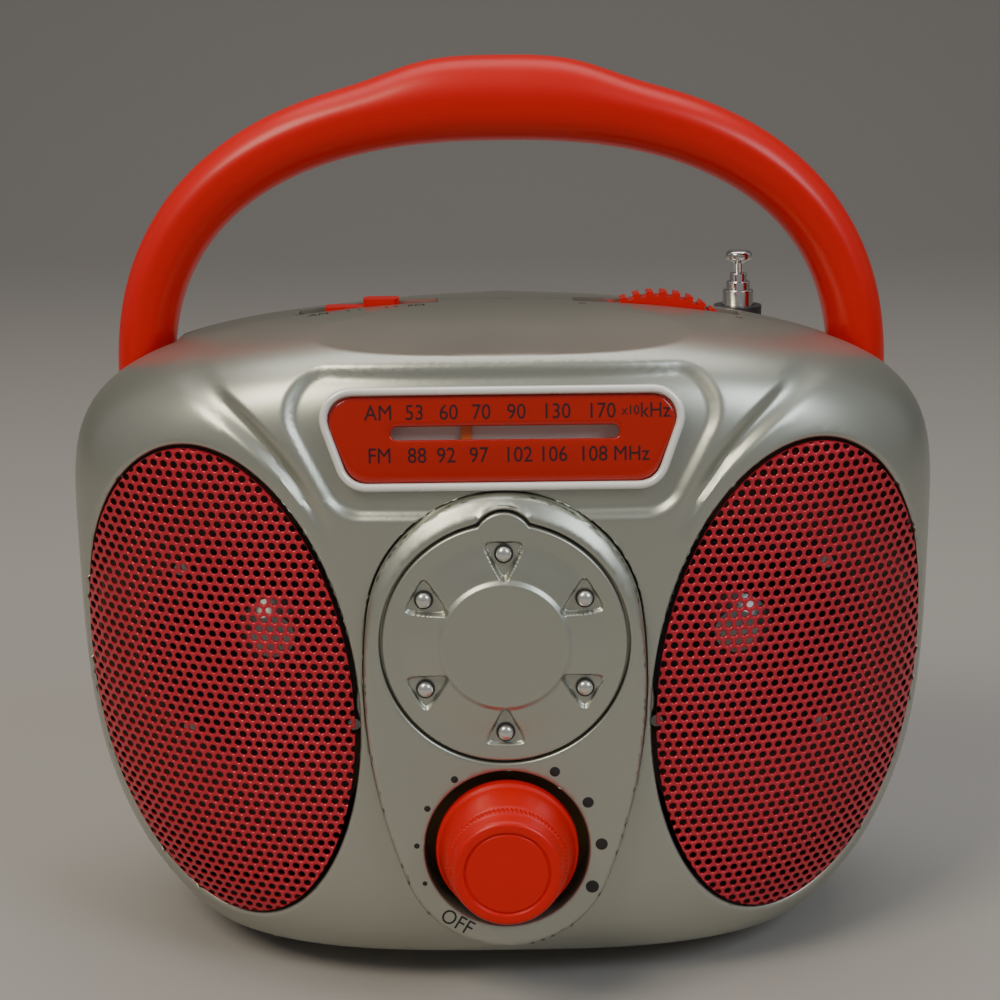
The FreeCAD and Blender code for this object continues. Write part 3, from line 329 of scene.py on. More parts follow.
def from_plane(flat):
    """Shell points of the flat drawing, where rays from the heart leave the shell."""
    angle = np.hypot(flat[:, 0], flat[:, 1]) / PLANE_SCALE
    turn = np.arctan2(flat[:, 1], flat[:, 0])
    ahead = np.stack([np.sin(angle) * np.cos(turn), -np.cos(angle),
                      np.sin(angle) * np.sin(turn)], 1)
    return march(HEART, ahead)


# ---- outlines


def grille_loop(grow, right, steps=150):
    """The grille's oval, grown, leaning outwards at its top."""
    turn = np.arange(steps) * 2 * math.pi / steps
    short = (GRILLE_HALF[0] + grow) * np.cos(turn)
    tall = (GRILLE_HALF[1] + grow) * np.sin(turn)
    x = GRILLE_AT[0] + short * math.cos(GRILLE_TILT) + tall * math.sin(GRILLE_TILT)
    z = GRILLE_AT[1] - short * math.sin(GRILLE_TILT) + tall * math.cos(GRILLE_TILT)
    return np.stack([right * x, z], 1)


def egg_loop(grow, steps=40):
    """The panel's outline: an upper round, two long side arcs and a lower round."""
    upper, lower = PANEL_TOP_ROUND + grow, PANEL_LOW_ROUND + grow
    side = PANEL_SIDE_ROUND + grow
    high, low = PANEL_TOP_CENTRE, PANEL_LOW_CENTRE
    rise = (high ** 2 - low ** 2 - (side - upper) ** 2 + (side - lower) ** 2) / (2 * (high - low))
    inward = math.sqrt((side - upper) ** 2 - (rise - high) ** 2)
    up = math.atan2(high - rise, inward)
    down = math.atan2(low - rise, inward)

    def arc(x, z, radius, start, end):
        turn = np.linspace(start, end, steps, endpoint=False)
        return np.stack([x + radius * np.cos(turn), z + radius * np.sin(turn)], 1)

    return np.vstack([
        arc(0, high, upper, up, math.pi - up),
        arc(inward, rise, side, math.pi - up, math.pi - down),
        arc(0, low, lower, math.pi - down, 2 * math.pi + down),
        arc(-inward, rise, side, down, up),
    ])


def hub_loop(grow, steps=180):
    """The hub circle with its round key on top, as one radius for each turn."""
    turn = np.arange(steps) * 2 * math.pi / steps
    reach = hub_reach(turn, grow)
    return np.stack([reach * np.cos(turn), reach * np.sin(turn)], 1)


def hub_reach(turn, grow):
    """The larger of the hub's radius and the ray's exit from the key's circle."""
    under = (KEY_RADIUS + grow) ** 2 - (KEY_OFFSET * np.cos(turn)) ** 2
    key = KEY_OFFSET * np.sin(turn) + np.sqrt(np.clip(under, 0, None))
    return np.where((under > 0) & (np.sin(turn) > 0), np.maximum(HUB_RADIUS + grow, key),
                    HUB_RADIUS + grow)


def circle_loop(x, z, radius, steps=96):
    """A circle in a leaning frame."""
    turn = np.arange(steps) * 2 * math.pi / steps
    return np.stack([x + radius * np.cos(turn), z + radius * np.sin(turn)], 1)


def round_corners(corners, radius, steps=8):
    """A closed polygon with each corner replaced by an arc of the radius."""
    corners = np.asarray(corners, float)
    out = []
    for i, corner in enumerate(corners):
        back = corners[i - 1] - corner
        ahead = corners[(i + 1) % len(corners)] - corner
        back, ahead = back / np.hypot(*back), ahead / np.hypot(*ahead)
        half = math.acos(np.clip(back @ ahead, -1, 1)) / 2
        middle = (back + ahead) / np.hypot(*(back + ahead))
        centre = corner + middle * radius / math.sin(half)
        start = corner + back * radius / math.tan(half) - centre
        end = corner + ahead * radius / math.tan(half) - centre
        first = math.atan2(start[1], start[0])
        sweep = (math.atan2(end[1], end[0]) - first + math.pi) % (2 * math.pi) - math.pi
        for share in np.linspace(0, 1, steps):
            angle = first + sweep * share
            out.append(centre + radius * np.array([math.cos(angle), math.sin(angle)]))
    return np.array(out)


def spaced(loop, pitch):
    """The same closed loop with points at an even pitch."""
    closed = np.vstack([loop, loop[:1]])
    run = np.r_[0, np.cumsum(np.hypot(*np.diff(closed, axis=0).T))]
    marks = np.linspace(0, run[-1], max(8, int(run[-1] / pitch)), endpoint=False)
    return np.stack([np.interp(marks, run, closed[:, 0]), np.interp(marks, run, closed[:, 1])], 1)


def lens_loop(grow, pitch=1.0):
    """The lens: a trapezoid with round corners, grown, in the window's own frame."""
    tall = LENS_TALL + grow
    corners = [(LENS_TOP + grow, tall), (-LENS_TOP - grow, tall),
               (-LENS_LOW - grow, -tall), (LENS_LOW + grow, -tall)]
    return spaced(round_corners(corners, LENS_ROUND + max(grow, 0.0)), pitch)


def stadium_loop(left, right, height, half):
    """A slot with round ends."""
    turn = np.linspace(-math.pi / 2, math.pi / 2, 13)
    ends = [np.stack([right - half + half * np.cos(turn), height + half * np.sin(turn)], 1),
            np.stack([left + half - half * np.cos(turn), height - half * np.sin(turn)], 1)]
    return spaced(np.vstack(ends), 0.5)


# ---- materials


def mottle_group():
    """Large soft patches and fine specks, as one mask each, from Object coordinates."""
    group = bpy.data.node_groups.new("mottle", "ShaderNodeTree")
    for name, way in (("Patch scale", "INPUT"), ("Speck scale", "INPUT"), ("Patch", "OUTPUT"),
                      ("Speck", "OUTPUT")):
        group.interface.new_socket(name=name, in_out=way, socket_type="NodeSocketFloat")
    nodes, links = group.nodes, group.links
    inside_node = nodes.new("NodeGroupInput")
    outside = nodes.new("NodeGroupOutput")
    place_node = nodes.new("ShaderNodeTexCoord")
    for index, (name, detail) in enumerate((("Patch", 3.0), ("Speck", 1.0))):
        noise = nodes.new("ShaderNodeTexNoise")
        noise.inputs["Detail"].default_value = detail
        links.new(place_node.outputs["Object"], noise.inputs["Vector"])
        links.new(inside_node.outputs[index], noise.inputs["Scale"])
        links.new(noise.outputs["Fac"], outside.inputs[name])
    return group


MOTTLE = mottle_group()


def new_material(name, color, roughness, metallic=0.0, coat=0.0, patch=30.0, speck=2500.0,
                 patch_mix=0.08, speck_bump=0.05, bump_depth=0.00005, rough_swing=0.06,
                 **sockets):
    """A Principled finish whose colour, roughness and bump vary by the mottle group."""
    material = bpy.data.materials.new(name)
    material.use_nodes = True
    nodes, links = material.node_tree.nodes, material.node_tree.links
    shader = nodes["Principled BSDF"]
    shader.inputs["Metallic"].default_value = metallic
    shader.inputs["Coat Weight"].default_value = coat
    shader.inputs["Coat Roughness"].default_value = 0.12
    for socket, value in sockets.items():
        shader.inputs[socket.replace("_", " ")].default_value = value
    mottle = nodes.new("ShaderNodeGroup")
    mottle.node_tree = MOTTLE
    mottle.inputs["Patch scale"].default_value = patch
    mottle.inputs["Speck scale"].default_value = speck
    shade = nodes.new("ShaderNodeMix")
    shade.data_type = "RGBA"
    shade.inputs["A"].default_value = (*[c * (1 - patch_mix) for c in color], 1)
    shade.inputs["B"].default_value = (*[min(1, c * (1 + patch_mix)) for c in color], 1)
    links.new(mottle.outputs["Patch"], shade.inputs["Factor"])
    links.new(shade.outputs["Result"], shader.inputs["Base Color"])
    rough = nodes.new("ShaderNodeMapRange")
    rough.inputs["To Min"].default_value = roughness - rough_swing
    rough.inputs["To Max"].default_value = roughness + rough_swing
    links.new(mottle.outputs["Patch"], rough.inputs["Value"])
    links.new(rough.outputs["Result"], shader.inputs["Roughness"])
    bump = nodes.new("ShaderNodeBump")
    bump.inputs["Strength"].default_value = speck_bump
    bump.inputs["Distance"].default_value = bump_depth
    links.new(mottle.outputs["Speck"], bump.inputs["Height"])
    links.new(bump.outputs["Normal"], shader.inputs["Normal"])
    return material


SILVER = new_material("silver_paint", (0.42, 0.425, 0.365), 0.36, metallic=0.82, coat=0.15,
                      patch=18.0, speck=3500.0, patch_mix=0.05, speck_bump=0.22)
STUD = new_material("silver_stud", (0.66, 0.65, 0.61), 0.26, metallic=0.85, coat=0.3)
# The silver lip round the lens gets a pale colour: a painted highlight on its edge.
PAINTED_HIGHLIGHT_RIM = new_material("rim_painted_highlight", (0.86, 0.84, 0.78), 0.28, metallic=0.2, coat=0.4)
RED = new_material("red_plastic", (0.60, 0.004, 0.0015), 0.34, coat=0.05, patch=25.0,
                   speck=2200.0, patch_mix=0.06, speck_bump=0.16, Specular_IOR_Level=0.35)
RED_MESH = new_material("red_mesh", (0.50, 0.016, 0.032), 0.36, metallic=0.3, coat=0.15,
                        speck=1800.0, speck_bump=0.12)
LENS = new_material("red_lens", (0.50, 0.010, 0.002), 0.16, coat=0.25, patch=22.0,
                    patch_mix=0.12, speck_bump=0.02, Transmission_Weight=0.25)
PRINT = new_material("black_print", (0.012, 0.010, 0.010), 0.45)
LENS_PRINT = new_material("dial_print", (0.025, 0.004, 0.004), 0.4)
WHITE = new_material("white_plastic", (0.78, 0.75, 0.68), 0.42)
POINTER = new_material("pointer_orange", (0.75, 0.16, 0.04), 0.4)
CHROME = new_material("chrome", (0.78, 0.77, 0.74), 0.14, metallic=1.0, speck_bump=0.02)
STEEL = new_material("steel", (0.55, 0.55, 0.54), 0.32, metallic=1.0)
BLACK = new_material("black_plastic", (0.018, 0.018, 0.018), 0.5)
RUBBER = new_material("rubber", (0.02, 0.02, 0.021), 0.72, speck_bump=0.3)
BOARD = new_material("circuit_board", (0.32, 0.20, 0.07), 0.5, patch_mix=0.2)
CASE = new_material("component_case", (0.04, 0.04, 0.045), 0.45)
CONE = new_material("paper_cone", (0.03, 0.028, 0.027), 0.8, speck=900.0, speck_bump=0.4,
                    patch_mix=0.2)
DUST_CAP = new_material("dust_cap", (0.62, 0.60, 0.60), 0.28, metallic=0.9, coat=0.3)
FERRITE = new_material("ferrite", (0.05, 0.05, 0.05), 0.6)
BAFFLE = new_material("hardboard", (0.11, 0.075, 0.055), 0.75, patch=60.0, patch_mix=0.3,
                      speck=700.0, speck_bump=0.35)
COPPER = new_material("copper_coil", (0.6, 0.25, 0.1), 0.35, metallic=1.0)

FINISHES = {
    "silver_paint": SILVER, "silver_stud": STUD, "red_plastic": RED, "steel": STEEL,
    "circuit_board": BOARD, "component_case": CASE, "red_lens": LENS, "white_plastic": WHITE,
    "pointer_orange": POINTER, "paper_cone": CONE, "dust_cap": DUST_CAP, "ferrite": FERRITE,
    "red_mesh": RED_MESH, "hardboard": BAFFLE, "copper_coil": COPPER, "chrome": CHROME,
    "black_plastic": BLACK, "rubber": RUBBER,
}


def finish_cad_nodes():
    """Each node that stays gets this scene's finish for the slot that the CAD gave it; speaker
    frames get black instead, as painted shade in the gaps beside the grilles.
    """
    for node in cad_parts.values():
        # Speaker frames are made black as painted shade, so the gap beside each grille reads as
        # shade.
        painted_shade_frame = node.name.startswith("speaker_frame")
        for entry in node.material_slots:
            name = entry.material.name.split(".")[0] if entry.material else ""
            if name in FINISHES:
                entry.material = BLACK if painted_shade_frame else FINISHES[name]


# ---- front shell

TRAY_CENTRE = (0.0, 123.1)
TRAY_CORNERS = [(43.6, 13.4), (-43.6, 13.4), (-37.0, -15.2), (37.0, -15.2)]
TRAY_SIDES = np.array([(1.0, 1.0), (-1.0, 1.0), (-1.0, -1.0), (1.0, -1.0)])
TRAY_ROUND = 8.0
TRAY_DEEP = 1.5
TRAY_SOFT = 1.3
FLUTE_MIDDLE = 110.0
FLUTE_CREST = (36.9, 0.50, 0.0166)
FLUTE_TROUGH = (39.8, 0.58, 0.0138)
FLUTE_EDGE = (41.45, 0.65, 0.0284)
FLUTE_DEEP = 1.7
SKIN_WALL = 1.8
COARSE, FINE = 1.5, 0.75


def tray_loop(grow):
    """The tray's outline, grown, as a closed loop on the front's (x, z) drawing."""
    corners = np.array(TRAY_CORNERS)
    loop = spaced(round_corners(corners + TRAY_SIDES * grow, TRAY_ROUND + grow), 0.8)
    return loop + np.array(TRAY_CENTRE)


def tray_depth(across, height):
    """How far the tray round the window is sunk: a soft step at a rounded trapezoid."""
    spot = np.stack([across, height], 1) - np.array(TRAY_CENTRE)
    corners = np.array(TRAY_CORNERS)
    core = corners - TRAY_SIDES * TRAY_ROUND
    inner = np.full(len(spot), -1e9)
    outer = np.full(len(spot), 1e9)
    for start, end in zip(core, np.roll(core, -1, axis=0)):
        along = (end - start) / np.hypot(*(end - start))
        away = (spot - start) @ np.array([along[1], -along[0]])
        inner = np.maximum(inner, away)
        share = np.clip((spot - start) @ along, 0, np.hypot(*(end - start)))
        outer = np.minimum(outer, np.hypot(*(spot - start - share[:, None] * along).T))
    away = np.where(inner < 0, inner, outer) - TRAY_ROUND
    return TRAY_DEEP * smoothstep(TRAY_SOFT, -TRAY_SOFT, away)


def flute_depth(across, height):
    """Two flutes beside each grille: from a crest down to a trough, then up to a second crest.

    The three lines are parabolas of the height."""
    up = height - FLUTE_MIDDLE
    x = np.abs(across)
    crest, trough, edge = (start + slope * up + bend * up ** 2
                           for start, slope, bend in (FLUTE_CREST, FLUTE_TROUGH, FLUTE_EDGE))
    falling = smoothstep(-0.15, 1.1, (x - crest) / (trough - crest))
    rising = smoothstep(0.0, 1.0, (x - trough) / np.clip(edge - trough, 1.6, None))
    share = np.minimum(falling, 1 - rising)
    fade = smoothstep(101.0, 119.0, height) * smoothstep(138.0, 126.0, height)
    return FLUTE_DEEP * share * fade


def rim_loop():
    """The edge at the parting plane, with the two slots cut into its top."""
    turn = np.linspace(0, 2 * math.pi, 420, endpoint=False)
    rim = march(HEART, np.stack([np.cos(turn), 0 * turn, np.sin(turn)], 1))

    def notch(right, left):
        """Round a slot's front half, from its right end to its left end."""
        depth = np.linspace(0, -SLOT_HALF, 4)
        x = np.r_[np.full(4, right), np.linspace(right, left, 30)[1:-1], np.full(4, left)]
        y = np.r_[depth, np.full(28, -SLOT_HALF), depth[::-1]]
        start = np.stack([x, y, np.full(len(x), HEART[2])], 1)
        return march(start, np.tile([0.0, 0.0, 1.0], (len(x), 1)))

    clear = 0.4
    x, top = rim[:, 0], rim[:, 2] > HEART[2] - 1e-6
    right = rim[top & (x > WHEEL_SLOT[1] + clear)]
    middle = rim[top & (x < WHEEL_SLOT[0] - clear) & (x > BAND_SLOT[1] + clear)]
    rest = rim[(top & (x < BAND_SLOT[0] - clear)) | ~top]
    return to_plane(np.vstack([right, notch(WHEEL_SLOT[1], WHEEL_SLOT[0]), middle,
                               notch(BAND_SLOT[1], BAND_SLOT[0]), rest]))


# Rounded rims of the openings: how far out each ring lies, and how far it is sunk.
EDGE_STEPS = ((0.0, 0.75), (0.12, 0.42), (0.32, 0.18), (0.62, 0.05), (1.0, 0.0))


def make_front_case():
    """The front shell's skin, drawn flat, filled, carried back and sunk by tray and flutes."""

    def flat(loop):
        return to_plane(front_skin(loop[:, 0], loop[:, 1]))

    def window_plane(grow):
        loop = on_window(np.insert(lens_loop(grow), 1, 0.0, axis=1))
        return np.stack([loop[:, 0], loop[:, 2]], 1)

    def panel_plane(grow):
        loop = on_panel(np.insert(egg_loop(grow, 46), 1, 3.0, axis=1))
        return np.stack([loop[:, 0], loop[:, 2]], 1)

    def base_loop():
        """Twice along the sharp edge at the base: over it, and back just under it."""
        turn = np.linspace(0.02, math.pi - 0.02, 260)
        ahead = np.stack([np.cos(turn), -np.sin(turn)], 1)
        wide = np.sign(ahead[:, 0]) * np.abs(ahead[:, 0]) ** (2 / SECTION_POWER)
        low = np.full(len(turn), BOTTOM)
        edge = np.stack([half_width(low) * wide, -front_depth(low) * np.abs(ahead[:, 1]),
                         low], 1)
        over = edge + np.array([0.0, 0.0, 0.5])
        under = edge * np.array([0.993, 0.993, 1.0])
        return to_plane(np.vstack([over, under[::-1]]))

    holes, rings, drops = [], [], []
    for index, (grow, drop) in enumerate(EDGE_STEPS):
        loops = [flat(grille_loop(1.0 + grow, 1)), flat(grille_loop(1.0 + grow, -1)),
                 flat(window_plane(0.5 + grow))]
        drops.extend(np.full(len(loop), drop) for loop in loops)
        (holes if index == 0 else rings).extend(loops)
        if index in (0, 2, 4):
            panel = flat(panel_plane(0.35 + grow * 0.6))
            (holes if index == 0 else rings).append(panel)
            drops.append(np.full(len(panel), 0.5 * drop))
    guides = [base_loop()]
    for share in (-1.0, -0.5, 0.0, 0.5, 1.0):
        guides.append(flat(tray_loop(share * TRAY_SOFT)))
    drops.extend(np.zeros(len(loop)) for loop in guides)
    rings.extend(guides)
    outer = rim_loop()
    extent = PLANE_SCALE * math.pi / 2
    dots = hex_dots((-extent, -extent), (extent, extent), COARSE)
    wide, low, high = 62.0, 6.0, 80.0
    fine = hex_dots((-wide, low), (wide, high), FINE)

    def is_busy(drawn):
        """Where tray and flutes need the finer dots."""
        spot = from_plane(drawn)
        return (np.abs(spot[:, 0]) < wide) & (spot[:, 2] > 82) & (spot[:, 1] < -26)

    covered = (np.abs(dots[:, 0]) < wide) & (dots[:, 1] > low) & (dots[:, 1] < high)
    free = np.vstack([dots[~(is_busy(dots) & covered)], fine[is_busy(fine)]])
    free = free[within(free, outer) & ~near(free, outer, 0.8)]
    for hole in holes:
        free = free[~within(free, hole)]
    for ring in holes + rings:
        free = free[~near(free, ring, 0.45)]
    flat_points, triangles, source = filled(outer, holes, rings, free)
    drop = np.concatenate([np.zeros(len(outer))] + drops + [np.zeros(len(free) + 1)])
    points = from_plane(flat_points)
    sunk = drop[np.where(source < 0, len(drop) - 1, source)]
    shaped = tray_depth(points[:, 0], points[:, 2]), flute_depth(points[:, 0], points[:, 2])
    for depth in shaped:
        sunk = sunk + np.where(points[:, 1] < -20, depth, 0.0)
    inward = (HEART - points) * np.array([0.3, 1.0, 0.3])
    inward = inward / np.linalg.norm(inward, axis=1)[:, None]
    points = points + inward * sunk[:, None]
    make_piece("front_case", [(points, triangles)], SILVER, "case", ("front_shell",),
               angle=30.0, wall=SKIN_WALL)


# ---- front panel and hub


def crescent(across, up):
    """The slope over the hub: it falls back from 26.8 outwards, and fades at the sides."""
    reach = np.hypot(across, up)
    key = np.hypot(across, up - KEY_OFFSET) - KEY_RADIUS - 0.9
    slope = np.clip(reach - 26.8, 0, 40) * 0.62
    slope = slope * smoothstep(-8.0, 10.0, up)
    return np.where(key < 0.0, 0.0, slope * smoothstep(0.0, 0.5, key))


def make_front_panel():
    """The egg-shaped plate with chamfered edges, the hub's seat and the knob's hole."""
    steps = ((0.0, 1.0), (-0.3, 0.5), (-0.7, 0.15), (-1.2, 0.0))
    edge = ((0.0, 0.35), (0.15, 0.12), (0.4, 0.0))
    outer = egg_loop(0.0, 46)
    hub = hub_loop(HUB_GAP)
    knob = circle_loop(0, -KNOB_DROP, KNOB_HOLE)
    rings = []
    drops = [np.full(len(outer), steps[0][1]), np.full(len(hub), edge[0][1]),
             np.full(len(knob), edge[0][1])]
    for grow, drop in steps[1:]:
        ring = egg_loop(grow, 46)
        rings.append(ring)
        drops.append(np.full(len(ring), drop))
    for grow, drop in edge[1:]:
        for ring in (hub_loop(HUB_GAP + grow), circle_loop(0, -KNOB_DROP, KNOB_HOLE + grow)):
            rings.append(ring)
            drops.append(np.full(len(ring), drop))
    dots = hex_dots((-30, -68), (30, 32), 0.9)
    dots = dots[within(dots, outer) & ~within(dots, hub) & ~within(dots, knob)]
    for ring in [outer, hub, knob] + rings:
        dots = dots[~near(dots, ring, 0.5)]
    flat, triangles, source = filled(outer, [hub, knob], rings, dots)
    drop = np.concatenate(drops + [np.zeros(len(dots) + 1)])
    back = drop[np.where(source < 0, len(drop) - 1, source)] + crescent(flat[:, 0], flat[:, 1])
    front = np.stack([flat[:, 0], back, flat[:, 1]], 1)
    parts = [(on_panel(front), triangles)]

    def wall(loop, starts, end):
        top = np.stack([loop[:, 0], starts, loop[:, 1]], 1)
        low = np.stack([loop[:, 0], np.full(len(loop), end), loop[:, 1]], 1)
        return on_panel(np.vstack([top, low])), grid_faces(2, len(loop), True)

    parts.append(wall(outer, steps[0][1] + crescent(outer[:, 0], outer[:, 1]),
                      PANEL_BACK))
    parts.append(wall(hub, edge[0][1] + crescent(hub[:, 0], hub[:, 1]), HUB_SEAT))
    parts.append(wall(knob, np.full(len(knob), edge[0][1]), PANEL_BACK))
    floor = np.insert(np.vstack([hub, hub * 0.8]), 1, HUB_SEAT, axis=1)
    parts.append((on_panel(floor), grid_faces(2, len(hub), True)))
    make_piece("front_panel", parts, SILVER, "case", ("control_panel",),
               wall=0.9)


def pocket_mask(across, up):
    """One inside the six rounded triangles that point at the middle, zero outside."""
    reach = np.hypot(across, up)
    turn = np.arctan2(up, across)
    step = math.pi / 3
    local = (turn - math.pi / 2 + step / 2) % step - step / 2
    tip, tall, sharp = 12.6, 8.9, 1.35
    half = math.radians(26.5)
    u, v = reach * np.sin(local), reach * np.cos(local) - tip
    planes = [v - tall, u * math.cos(half) - v * math.sin(half),
              -u * math.cos(half) - v * math.sin(half)]
    away = np.log(sum(np.exp(sharp * plane) for plane in planes)) / sharp
    return smoothstep(0.30, -0.30, away)


def make_hub_disc():
    """The hub plate: raised pad, coned ring, flat rim and six pockets, on a polar grid."""
    rings, steps = 130, 420
    share = np.linspace(0.0, 1.0, rings)
    radius = (share * HUB_RADIUS)[:, None] * np.ones(steps)[None]
    turn = np.tile(np.arange(steps) * 2 * math.pi / steps, (rings, 1))
    stretch = 1 + (hub_reach(turn, 0.0) / HUB_RADIUS - 1) * smoothstep(22.4, 24.6, radius)
    across, up = radius * stretch * np.cos(turn), radius * stretch * np.sin(turn)
    reach = radius
    out = 0.15 + smoothstep(21.8, PAD_RADIUS + 0.1, reach)
    out = out + 0.75 * smoothstep(PAD_RADIUS + 0.6, PAD_RADIUS - 0.8, reach)
    out = out - 0.12 * smoothstep(PAD_RADIUS - 0.5, 0.0, reach)
    mask = pocket_mask(across, up) * smoothstep(13.2, 14.0, reach)
    out = out * (1 - mask) - 0.7 * mask
    out = out - 0.45 * smoothstep(24.75, 25.2, reach) ** 2
    top = np.stack([across, -out, up], -1).reshape(-1, 3)
    thick = 1.6
    last = np.stack([across[-1], np.full(steps, thick), up[-1]], 1)
    closing = np.vstack([top[-steps:], last, last * np.array([0.0, 1.0, 0.0])])
    parts = [(on_panel(top), grid_faces(rings, steps, True)),
             (on_panel(closing), grid_faces(3, steps, True))]
    make_piece("hub_disc", parts, SILVER, "case", ("hub_plate",), angle=50)


def make_studs():
    """Six domed studs, each a low dome on a short neck, with a black ring round its foot as
    painted shade in the groove there.
    """
    radius, rise, foot = 1.6, 1.05, -0.9
    dome = [(0.0, rise)]
    for angle in np.linspace(0.25, math.pi / 2, 8):
        dome.append((radius * math.sin(angle), rise * math.cos(angle)))
    dome += [(radius, foot), (0.0, foot)]
    # The black rings at the studs' feet are painted shade in the grooves round them.
    ring = [(1.62, -0.5), (1.62, -0.2), (1.75, -0.14), (1.95, -0.2), (1.95, -0.5), (1.62, -0.5)]
    studs, painted_shade_rings = [], []
    for number in range(6):
        angle = math.radians(90 + 60 * number)
        spot = np.array([STUD_CIRCLE * math.cos(angle), 0.0, STUD_CIRCLE * math.sin(angle)])
        for profile, pieces in ((dome, studs), (ring, painted_shade_rings)):
            points, faces = lathe(profile, 32)
            pieces.append((on_panel(points + spot), faces))
    make_piece("studs", studs, STUD, "case", ("hub_studs",), angle=60)
    make_piece("stud_painted_shade_rings", painted_shade_rings, BLACK, "case", angle=60)


def knob_frame(points):
    """Points about the knob's axis, carried to the shared frame."""
    return on_panel(points + np.array([0.0, 0.0, -KNOB_DROP]))


def make_knob():
    """The volume knob: skirt, cone, knurled band and an inset front, turned about its axis."""
    corners = [(0.0, -1.5), (15.0, -1.5), (15.0, 0.6), (14.3, 1.3), (12.6, 7.4), (12.25, 7.7),
               (12.2, 9.3), (11.7, 9.5), (11.3, 12.2), (10.7, 12.9), (8.95, 12.9), (8.8, 12.45),
               (8.5, 12.45), (8.35, 12.75), (0.0, 12.7)]
    profile = rounded_profile(corners, 0.45)
    ridges = 84

    def knurl(shape, turn):
        band = smoothstep(7.6, 7.9, shape[:, 1]) * smoothstep(9.4, 9.1, shape[:, 1])
        band = band * (shape[:, 0] > 11.9)
        return 0.17 * band[:, None] * np.cos(ridges * turn)[None]

    points, faces = lathe(profile, ridges * 5, knurl)
    make_piece("volume_knob_body", [(knob_frame(points), faces)], RED, "knob",
               ("volume_knob",), angle=32)


def disc_part(x, z, radius, deep, steps=28):
    """A thin printed disc with a closed back, in a leaning frame."""
    profile = [(0.0, deep), (radius * 0.97, deep), (radius, deep * 0.5), (radius, -0.1),
               (0.0, -0.1)]
    points, faces = lathe(profile, steps)
    return points + np.array([x, 0.0, z]), faces


def make_volume_marks():
    """Eight dots round the knob that grow clockwise, and the word at the low end."""
    parts = []
    for first, step, small, large, reach in ((203.3, -26.2, 0.52, 0.76, 19.0),
                                             (59.4, -28.4, 1.08, 1.40, 19.85)):
        for number in range(4):
            angle = math.radians(first + step * number)
            size = small + (large - small) * number / 3
            points, faces = disc_part(reach * math.cos(angle), reach * math.sin(angle), size, 0.04)
            parts.append((knob_frame(points), faces))
    angle, reach = math.radians(-123.5), 19.4
    parts.append(letters("OFF", 3.3, reach * math.cos(angle),
                         reach * math.sin(angle) - KNOB_DROP, on_panel,
                         turn=math.radians(-31.0)))
    make_piece("volume_marks", parts, PRINT, "case", angle=50,
               outward=False)


def letters(text, tall, x, z, frame_of, turn=0.0, wide=0.9, rise=0.04):
    """Upright lettering of a cap height, centred at (x, z) of a leaning frame, as a thin solid."""
    curve = bpy.data.curves.new("letters", "FONT")
    curve.body = text
    curve.size = 1.0
    curve.align_x = "CENTER"
    curve.extrude = 0.02
    curve.resolution_u = 3
    thing = bpy.data.objects.new("letters", curve)
    bpy.context.scene.collection.objects.link(thing)
    bpy.context.view_layer.update()
    mesh = bpy.data.meshes.new_from_object(thing.evaluated_get(
        bpy.context.evaluated_depsgraph_get()))
    flat = np.zeros(len(mesh.vertices) * 3, np.float32)
    mesh.vertices.foreach_get("co", flat)
    flat = flat.reshape(-1, 3).astype(float)
    faces = [list(face.vertices) for face in mesh.polygons]
    bpy.data.objects.remove(thing)
    bpy.data.curves.remove(curve)
    bpy.data.meshes.remove(mesh)
    cap = 0.70
    scale = tall / cap
    across = flat[:, 0] * scale * wide
    up = (flat[:, 1] - cap / 2) * scale
    back = np.where(flat[:, 2] > 0, -rise, 0.05)
    turned = np.stack([x + across * math.cos(turn) - up * math.sin(turn), back,
                       z + across * math.sin(turn) + up * math.cos(turn)], 1)
    return frame_of(turned), faces


# ---- dial window


SCALE_LEFT, SCALE_RIGHT, SCALE_UP, SCALE_HALF = -22.6, 23.8, 1.2, 1.35


def on_lens(points):
    """Points of the window's frame, laid on the lens's domed face."""
    return on_window(points + np.array([0.0, 1.0, 0.0]) * lens_dome(points[:, 2])[:, None])


def lens_dome(up):
    """How far the lens's face falls back above and below its middle."""
    return LENS_DOME * (up / LENS_TALL) ** 2


def make_lens():
    """The lens: a plate with a soft edge and a slot, in the window's own frame."""
    outer = lens_loop(-0.25)
    slot = stadium_loop(SCALE_LEFT, SCALE_RIGHT, SCALE_UP, SCALE_HALF)
    rings = [lens_loop(-0.45), lens_loop(-0.9), lens_loop(-1.5)]
    drops = [0.55, 0.25, 0.05, 0.0]
    dots = hex_dots((-40, -10), (40, 10), 1.6)
    dots = dots[within(dots, outer) & ~within(dots, slot)]
    rim = 0.3
    wide_slot = stadium_loop(SCALE_LEFT - rim, SCALE_RIGHT + rim, SCALE_UP, SCALE_HALF + rim)
    for ring in [outer, slot, wide_slot] + rings:
        dots = dots[~near(dots, ring, 0.7)]
    flat, triangles, source = filled(outer, [slot], rings + [wide_slot], dots)
    drop = np.concatenate([np.full(len(outer), drops[0]), np.full(len(slot), 0.2)]
                          + [np.full(len(r), d) for r, d in zip(rings, drops[1:])]
                          + [np.zeros(len(wide_slot)), np.zeros(len(dots) + 1)])
    back = drop[np.where(source < 0, len(drop) - 1, source)]
    points = np.stack([flat[:, 0], back, flat[:, 1]], 1)
    make_piece("lens_plate", [(on_lens(points), triangles)], LENS, "case", ("dial_lens",),
               wall=1.3)


